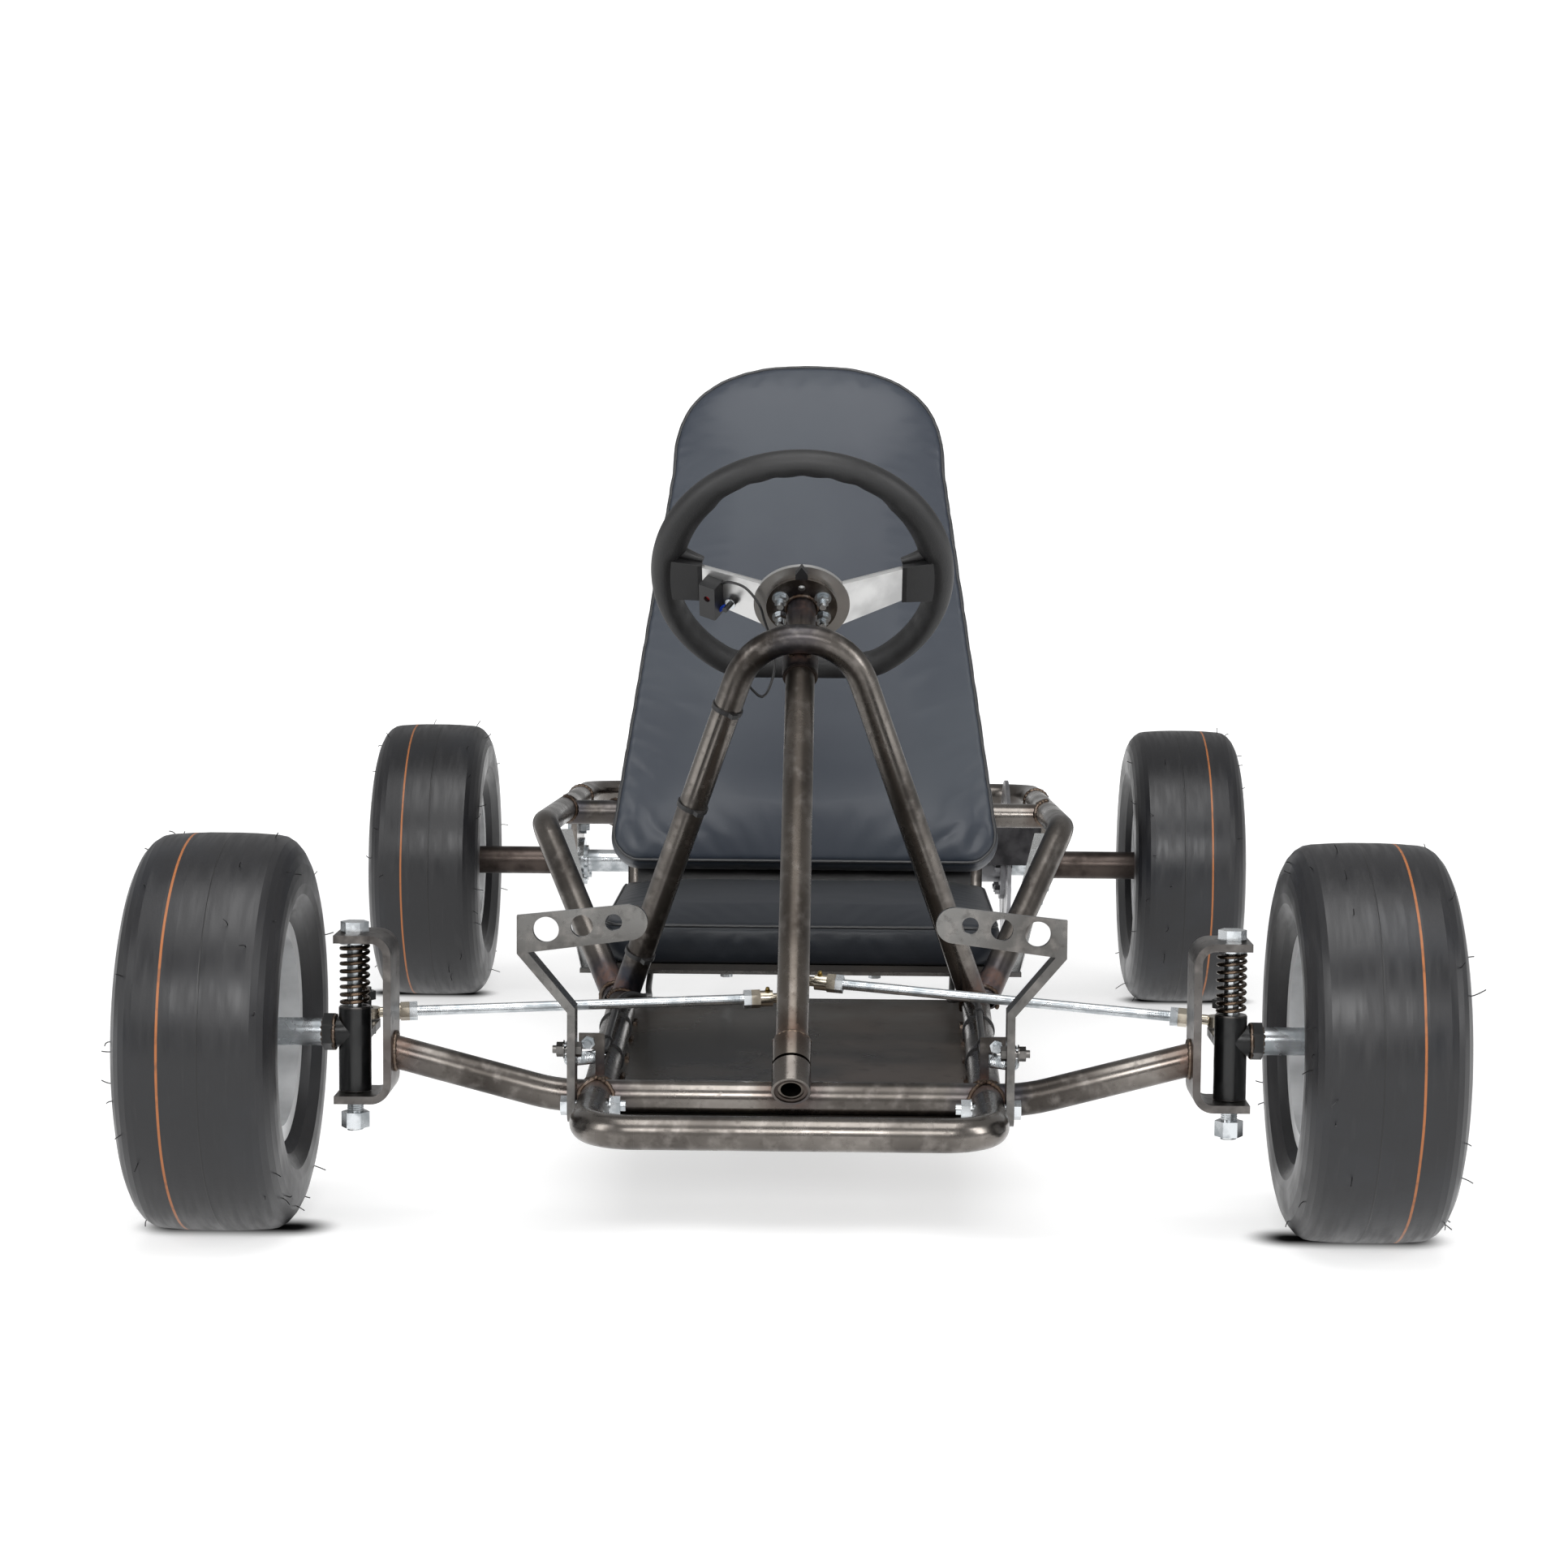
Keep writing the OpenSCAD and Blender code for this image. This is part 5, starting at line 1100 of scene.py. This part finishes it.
sections = []
for x, y, a in ring:
    outward = Vector((math.cos(a), math.sin(a)))
    turn = math.atan2(y, abs(x))
    rise = min(max((turn - palm_from) / 0.1, 0), 1) * min(max((palm_to - turn) / 0.12, 0), 1)
    palm = 5.5 * rise * (1 - 0.45 * (turn - palm_from) / (palm_to - palm_from))
    finger = finger_depth(math.atan2(y, x))
    section = []
    for j in range(SECTION_POINTS):
        b = 2 * math.pi * j / SECTION_POINTS
        inner, front = max(-math.cos(b), 0), max(-math.sin(b), 0)
        reach = 12.2 + palm * inner**1.2 - 1.82 * finger * math.sqrt(inner * front)
        out = outward * reach * math.cos(b)
        section.append(on_wheel(x + out.x, y + out.y, reach * math.sin(b)))
    sections.append(section)
faces = []
for i in range(len(sections)):
    here, there = i * SECTION_POINTS, (i + 1) % len(sections) * SECTION_POINTS
    for j in range(SECTION_POINTS):
        k = (j + 1) % SECTION_POINTS
        faces.append((here + j, here + k, there + k, there + j))
grip = from_corners("wheel_grip", metres(p for section in sections for p in section), faces)
only(grip)
bpy.ops.object.mode_set(mode="EDIT")
bpy.ops.mesh.select_all(action="SELECT")
bpy.ops.mesh.normals_make_consistent(inside=False)
bpy.ops.object.mode_set(mode="OBJECT")
settle(grip, "steering", grip_rubber, smooth=60)
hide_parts("steering_rim")
print("grip:", len(grip.data.polygons), "faces")

# %% [markdown]
# ## Thumb rests
# The moulded boots over the spokes end in a rolled lip at the top, where the thumbs lie.

# %% Thumb rests
lip_places = ((89, 21, -6), (98, 22.5, -3.5), (107, 25.5, -1.5), (113, 31, 0.5))
lip_radii = (3.0, 4.2, 5.6, 6.6)
for side, word in SIDES:
    path = smooth_path([(x * side, y, z) for x, y, z in lip_places], 5)
    radii = np.interp(np.linspace(0, 3, len(path)), range(4), lip_radii)
    obj = wire("thumb_rest_" + word, [kart(*on_wheel(p.x, p.y, p.z)) for p in path], MM, sides=4)
    for knot, r in zip(obj.data.splines[0].points, radii):
        knot.radius = r
    settle(as_mesh(obj), "steering", black_plastic, smooth=60)

# %% [markdown]
# ## Springs
# Each kingpin carries a dark coil spring with closed ends. It sits between the spindle's barrel and a cap
# under the bracket, and shortens as the wheel rises.


# %% Kingpin springs
def coil(centre_line, radius, turns, steps=20, closed_ends=0.8):
    """Points of a coil round a straight line; the end turns lie closer together."""
    start, end = centre_line
    axis = (end - start).normalized()
    first = axis.orthogonal().normalized()
    second = axis.cross(first)
    marks = np.linspace(0, turns, int(turns * steps) + 1)
    slow = np.minimum(np.minimum(marks, turns - marks) / closed_ends, 1.0)
    climb = np.concatenate([[0], np.cumsum(0.35 + 0.65 * slow[1:])])
    climb /= climb[-1]
    spin = [2 * math.pi * m for m in marks]
    return [
        start + (end - start) * float(c) + radius * (math.cos(a) * first + math.sin(a) * second)
        for a, c in zip(spin, climb)
    ]


for side, word in SIDES:
    low, high = Vector((KINGPIN_X * side, 0, 175.2)), Vector((KINGPIN_X * side, 0, 220.3))
    turns = metres(coil((low, high), 10.3, 8))
    spring = wire_mesh("kingpin_coil_" + word, turns, 1.5 * MM, sides=3)
    settle(spring, "chassis", spring_steel, smooth=60)
    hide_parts("kingpin_spring_" + word)
    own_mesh(spring)

# %% [markdown]
# ## Pedal return springs and cable ends
# A light plated spring pulls each pedal back. It hooks into the strap at one end and into a tab on the rail
# at the other. The bare end of each cable runs up to its clamp.

# %% Return springs
strap_hook = ((161, -33.1, 137), (168.8, -33.1, 137), (170, -32, 137), (170.2, -26, 137))
strap_end, tab_end = Vector((169, -22, 137)), Vector((155.5, 41, 128))
tab_hook = ((154.1, 48, 127.5), (153.7, 55, 127), (152.7, 56.1, 127), (147.5, 56.1, 127))
bare_end = ((170.9, -46, 152), (170.9, -31, 152), (168.5, -22, 150.4), (158, 17.5, 143))
for side, word in ((1, "brake"), (-1, "throttle")):
    line = [Vector(p) for p in strap_hook]
    line += coil((strap_end, tab_end), 4.6, 14, steps=14, closed_ends=0.01)
    line += [Vector(p) for p in tab_hook]
    spring = wire_mesh(word + "_spring", metres(mirrored(p, side) for p in line), 0.8 * MM, sides=2)
    settle(spring, None, zinc, smooth=60)
    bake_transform(spring)
    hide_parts(word + "_return")
    line = [mirrored(Vector(p), side) for p in bare_end]
    inner = wire_mesh(word + "_inner_cable", metres(line), 0.8 * MM, sides=2)
    settle(inner, None, zinc, smooth=60)
    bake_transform(inner)

# %% [markdown]
# ## Cables
# A sheathed cable runs from each pedal along its rail, under the seat and up to the rear of the frame. Each
# is as long as its route, and the sheath ends in a plated ferrule.


# %% Cables
def front_run(side):
    """The first part of both cables, clipped along the top of the rail."""
    steps = ((8, 18, 22), (8, 40, 21), (5, 84, 7), (0, 120, 0), (0, 200, 0), (0, 290, 0), (0, 360, 0))
    steps += ((-8, 392, 2), (-20, 418, -4))
    return [Vector(((rail_x(y) + dx) * side, y, 121.0 + dz)) for dx, y, dz in steps]


under_seat = ((139, 440, 114), (138, 480, 108), (142, 540, 106))
under_seat += ((146, 640, 106), (148, 720, 106), (148, 800, 106))
throttle_end = ((146, 860, 104), (144, 905, 112), (138, 940, 140), (132, 975, 175), (130, 1010, 205))
brake_end = ((147, 860, 104), (148, 900, 112), (152.7, 935, 138), (170, 972, 160), (190, 1000, 190))
brake_end += ((198, 1035, 216), (198, 1062, 226.5), (197.5, 1077, 229))


def sheathed(name, points, diameter):
    """A sheathed cable through the points; its length is printed."""
    path = metres(smooth_path(points, 5))
    cable = wire_mesh(name, path, diameter / 2 * MM, sides=4)
    settle(cable, "chassis", cable_sheath, smooth=60)
    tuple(path[0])
    length_of(path)
    print(name, "is", round(length_of(path), 3), "m long")
    return cable


throttle_points = front_run(-1) + [Vector((-x, y, z)) for x, y, z in under_seat + throttle_end]
brake_points = front_run(1) + [Vector(p) for p in under_seat + brake_end]


def turned(name, start, axis, profile, sides=24):
    """A solid of revolution: (distance along, radius) pairs round an axis from start, in millimetres."""
    axis = Vector(axis).normalized()
    first = axis.orthogonal().normalized()
    second = axis.cross(first)
    places, faces = [], []
    for along, radius in profile:
        for k in range(sides):
            a = 2 * math.pi * k / sides
            places.append(start + axis * along + radius * (math.cos(a) * first + math.sin(a) * second))
    rows = len(profile)
    for i in range(rows - 1):
        for k in range(sides):
            n = (k + 1) % sides
            faces.append((i * sides + k, i * sides + n, (i + 1) * sides + n, (i + 1) * sides + k))
    faces.append(tuple(range(sides - 1, -1, -1)))
    faces.append(tuple((rows - 1) * sides + k for k in range(sides)))
    return from_corners(name, metres(places), faces)


ferrule_shape = ((0, 1.2), (0, 3.0), (13.4, 3.0), (13.4, 1.2))
lock_nut_shape = ((0, 2), (0, 5.4), (3.8, 5.4), (3.8, 2))
end_sleeve_shape = ((0, 3.1), (0, 3.5), (9.6, 3.5), (10.4, 2.6), (10.4, 1.0))
stops, ends = [], {}
for side in (1, -1):
    stop = Vector((158.4 * side, 8.5, 143))
    stops.append(turned("ferrule", stop, (0, 1, 0), ferrule_shape))
    stops.append(turned("lock_nut", stop + Vector((0, 9.5, 0)), (0, 1, 0), lock_nut_shape, 6))
settle(join(stops, "cable_stop_ferrules"), "chassis", zinc, smooth=30)
for word, points in (("throttle", throttle_points), ("brake", brake_points)):
    way = (points[-1] - points[-2]).normalized()
    parts = [turned("ferrule", points[-1] - way * 9, way, end_sleeve_shape)]
    if word == "throttle":
        parts.append(turned("inner", points[-1], way, ((0, 0.8), (11, 0.8)), 8))
    ends[word] = settle(join(parts, word + "_cable_end"), "chassis", zinc, smooth=30)
throttle_cable = sheathed("throttle_cable", throttle_points, 6.0)
sheathed("brake_cable", brake_points, 6.0)
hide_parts("control_cables")
sheath_end, lever_eye = brake_points[-1], Vector((194.6, 1104, 230))
pull_line = [sheath_end + Vector((0, 1, 0.1)), sheath_end + Vector((-0.6, 8, 0.4)), lever_eye]
pull = wire_mesh("caliper_inner_cable", metres(smooth_path(pull_line, 6)), 0.8 * MM, sides=2)
settle(pull, None, zinc, smooth=60)
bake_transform(pull)

# %% [markdown]
# ## Switch lead
# A thin lead runs up the hoop's right leg, leaves it at the last tie, and loops to the switch on the wheel.
# The loop gives enough slack for full lock.

# %% Switch lead
FOOT_RIGHT = mirrored(HOOP_FOOT, -1)
LEG = (HOOP_CORNER - FOOT_RIGHT).normalized()
LEAD_SIDE = LEG.cross(Vector((0.92, 0.39, 0))).normalized() * 14.2


def along_leg(k):
    """A place beside the hoop's right leg, from 0 at its foot to 1 at its corner."""
    return FOOT_RIGHT + (HOOP_CORNER - FOOT_RIGHT) * k + LEAD_SIDE


lead_at_wheel = ((-72, 12, 18), (-64, 20, 10), (-50, 20, 2), (-38, 8, -6))
lead_at_wheel += ((-33, -8, -10), (-27, -24, -20), (-24, -38, -44), (-34, -42, -74))
lead = [on_wheel(*p, SPOKES_AT) for p in lead_at_wheel]
lead += [along_leg(0.635) + Vector((9, 3, 6))] + [along_leg(k) for k in np.arange(0.6, 0.05, -0.08)]
lead_path = metres(smooth_path(lead, 5))
switch_lead = wire_mesh("switch_lead", lead_path, 1.2 * MM, sides=3)
settle(switch_lead, None, cable_sheath, smooth=60)
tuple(lead_path[0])
length_of(lead_path)
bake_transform(switch_lead)
print("switch lead:", round(length_of(lead_path), 3), "m")

# %% [markdown]
# ## Earth terminal
# A short lead ends in a blue sleeve and a ring under a bolt on the spoke. The ring, its tongue and the sleeve
# are turned shapes, because each is round about its own line.

# %% Earth terminal
ring_shape = ((0, 2.7), (0, 5.2), (0.8, 5.2), (0.8, 2.7))
sleeve_shape = ((0, 1.4), (0, 2.3), (3.5, 2.5), (4.5, 2.2), (8, 2.3), (10.5, 2.6), (10.5, 1.2))
SPOKE_OUT = UP_COLUMN * 0.884 + Vector((0.468, 0, 0))
bolt_at = on_wheel(-62, -8, 17.9, SPOKES_AT) - SPOKE_OUT * 5.0
sleeve_way = (Vector((-0.72, 0, 0)) * 0.884 + UP_COLUMN * 0.337 - UP_WHEEL * 0.69).normalized()
sleeve = turned("earth_sleeve", bolt_at + sleeve_way * 6.5, sleeve_way, sleeve_shape, 16)
settle(sleeve, "steering", blue_sleeve, smooth=40)
lug = turned("earth_lug", bolt_at - SPOKE_OUT * 0.5, SPOKE_OUT, ring_shape, 20)
tongue = turned("earth_tongue", bolt_at + sleeve_way * 4, sleeve_way, ((0, 0.9), (3, 1.4)), 8)
settle(join([lug, tongue], "earth_terminal"), "steering", zinc, smooth=40)
tail_line = [bolt_at + sleeve_way * 16, bolt_at + sleeve_way * 20 + UP_WHEEL * 3]
tail_line += [on_wheel(-80, -13, 12, SPOKES_AT)]
tail = wire_mesh("earth_lead", metres(smooth_path(tail_line, 5)), 1.0 * MM, sides=2)
settle(tail, "steering", cable_sheath, smooth=60)

# %% [markdown]
# ## Threads and grease nipples
# The kingpin bolts show some thread above and below their lock nuts, and so do the ends of the tie rods. The
# rod ends each have a small brass nipple.


# %% Threads
def thread(name, start, axis, length, radius, pitch):
    """The ridge of a screw thread, as a fine coil round the bolt."""
    axis = Vector(axis).normalized()
    points = coil((Vector(start), Vector(start) + axis * length), radius, length / pitch, 14, 0.01)
    return wire_mesh(name, metres(points), pitch * 0.3 * MM, sides=1)


bolt_threads = []
for side in (1, -1):
    for low, length in ((91.4, 9.4), (76.2, 2.6)):
        bolt_threads.append(thread("thread", (KINGPIN_X * side, 0, low), (0, 0, 1), length, 6.0, 1.6))
settle(join(bolt_threads, "kingpin_threads"), "chassis", zinc, smooth=70)
nipple_shape = ((0, 2.2), (1.6, 2.2), (1.6, 1.2), (2.8, 1.8), (4, 1.3), (4.2, 0.3))
for side, word in SIDES:
    ball, eye = rod_balls(side)
    way = (eye - ball).normalized()
    ridges = [thread("thread", ball + way * 40.6, way, 46, 4.0, 1.2)]
    ridges += [thread("thread", eye - way * 58, way, 17, 4.0, 1.2)]
    settle(join(ridges, "tie_rod_thread_" + word), "tie_rod_" + word, zinc, smooth=70)
    nipples = [
        turned("nipple", p + Vector((0, -2, 5.6)), (0, -0.3, 1), nipple_shape, 12)
        for p in (ball + way * 21, eye - way * 21)
    ]
    settle(join(nipples, "grease_nipples_" + word), "tie_rod_" + word, brass, smooth=40)

# %% [markdown]
# ## Tyre hairs
# New tyres carry thin rubber hairs where the mould was vented. They stand on the shoulders and along the
# tread, each bent its own way. A hair that the floor would meet is worn off.

# %% Tyre hairs
HAIR_CLEAR = 1.5
hair_rows = (-58.5, -56.5, -48, -41, -26, 12, 41, 50, 56.5, 58.5)
profile_u = [0, 12, 24.5, 40.5, 50.5, 57.8, 60.5]
profile_r = [153, 153, 152.6, 151.5, 147.5, 136.5, 121.5]


def tyre_radius(u):
    """The tyre's radius at u millimetres from its middle."""
    return float(np.interp(abs(u), profile_u, profile_r))


def hairs(name, middle_x, side, y, count, body):
    """Thin hairs on one tyre, joined into one piece."""
    made = []
    for i in range(count):
        u = rng.choice(hair_rows) + rng.uniform(-1, 1)
        a = 2 * math.pi * (i + rng.uniform(-0.3, 0.3)) / count
        r = tyre_radius(u)
        slope = tyre_radius(abs(u) - 1) - r
        up = Vector((0, math.cos(a), math.sin(a)))
        out = (up + Vector((side * math.copysign(min(slope, 3.0), u), 0, 0))).normalized()
        base = Vector((middle_x * side + u * side, y, AXLE_Z)) + up * (r - 0.4)
        bend = Vector([rng.uniform(-0.5, 0.5) for _ in range(3)])
        length = rng.uniform(3.5, 9.5)
        line = [base + out * length * t + bend * length * t * t for t in (0, 0.3, 0.6, 0.85, 1.0)]
        if min(p.z for p in line) > HAIR_CLEAR:
            made.append(wire("hair", metres(line), 0.42 * MM, sides=0))
    return settle(as_mesh(join(made, name)), body, cable_sheath, smooth=None)


for side, word in SIDES:
    hairs("front_tyre_hairs_" + word, FRONT_X, side, 0, 46, "front_wheel_" + word)
    hairs("rear_tyre_hairs_" + word, REAR_X, side, WHEELBASE, 40, "rear_axle")

# %% [markdown]
# ## Floor and light
# A pale studio: one wide floor, a bright white room and four soft boxes. The room is white to the camera,
# but dimmer to the metal, so that the tubes keep their dark sides. The floor glows a little more with
# distance, so that it meets the room without an edge, and a shadow is painted on it where each tyre stands.

# %% Floor
bpy.ops.object.select_all(action="DESELECT")
bpy.ops.mesh.primitive_plane_add(size=40, location=(0, 0, -0.0008))
studio_floor = bpy.context.object
studio_floor.name = "studio_floor"
floor_paint, tree, shader = new_material("pale_floor")
shader.inputs["Base Color"].default_value = (0.5, 0.5, 0.5, 1)
shader.inputs["Roughness"].default_value = 0.8
shader.inputs["Specular IOR Level"].default_value = 0.0
shader.inputs["Emission Color"].default_value = (1, 1, 1, 1)
where = node(tree, "TexCoord").outputs["Object"]
away = node(tree, "VectorMath", {0: where}, operation="LENGTH").outputs["Value"]
glow = between(tree, away, 1.0, 3.5, 0.62, 1.05)
x, y, _ = node(tree, "SeparateXYZ", {0: where}).outputs
TRACK_HALF, TREAD_HALF = 0.43, 0.045
MIDDLE_Y, AXLE_REACH = -0.039, 0.59


def off(value, middle):
    """How far a value is from a middle, on either side."""
    return maths(tree, "ABSOLUTE", maths(tree, "SUBTRACT", value, middle))


# Painted shadow: the floor turns dark and stops glowing in a patch at each tyre's foot.
across = maths(tree, "SUBTRACT", off(maths(tree, "ABSOLUTE", x), TRACK_HALF), TREAD_HALF)
along = off(off(y, MIDDLE_Y), AXLE_REACH)
beside = node(tree, "CombineXYZ", {0: maths(tree, "MAXIMUM", across, 0.0), 1: along})
to_tyre = node(tree, "VectorMath", {0: beside.outputs[0]}, operation="LENGTH").outputs["Value"]
painted_contact_shadow = between(tree, to_tyre, 0.006, 0.04, 0.0, 1.0)
tree.links.new(maths(tree, "MULTIPLY", glow, painted_contact_shadow), shader.inputs["Emission Strength"])
tree.links.new(mix(tree, painted_contact_shadow, (0.01, 0.01, 0.01, 1), (0.5, 0.5, 0.5, 1)), shader.inputs["Base Color"])
studio_floor.data.materials.append(floor_paint)

# %% Light
world = bpy.data.worlds.new("studio")
bpy.context.scene.world = world
world.use_nodes = True
tree = world.node_tree
background = tree.nodes["Background"]
seen = node(tree, "LightPath").outputs["Is Camera Ray"]
tree.links.new(maths(tree, "ADD", 0.42, maths(tree, "MULTIPLY", seen, 0.8)), background.inputs["Strength"])
background.inputs["Color"].default_value = (1, 1, 1, 1)


def soft_box(name, place, aim, width, height, power):
    """A rectangular lamp at place, turned to face aim."""
    turn = (Vector(aim) - Vector(place)).to_track_quat("-Z", "Y").to_euler()
    bpy.ops.object.light_add(type="AREA", location=place, rotation=turn)
    lamp = bpy.context.object
    lamp.name = name
    lamp.data.shape = "RECTANGLE"
    lamp.data.size, lamp.data.size_y = width, height
    lamp.data.energy = power
    return lamp


soft_box("overhead_box", (0.0, -1.2, 3.3), (0, 0, 0.2), 2.6, 2.2, 62)
soft_box("front_box", (0.0, -4.4, 2.1), (0, 0, 0.4), 3.0, 1.0, 80)
soft_box("left_box", (-3.2, -2.2, 1.7), (0, -0.2, 0.3), 1.0, 2.2, 45)
soft_box("right_box", (3.2, -1.8, 1.7), (0, -0.2, 0.3), 1.0, 2.2, 45)
bpy.context.scene.view_settings.view_transform = "Standard"
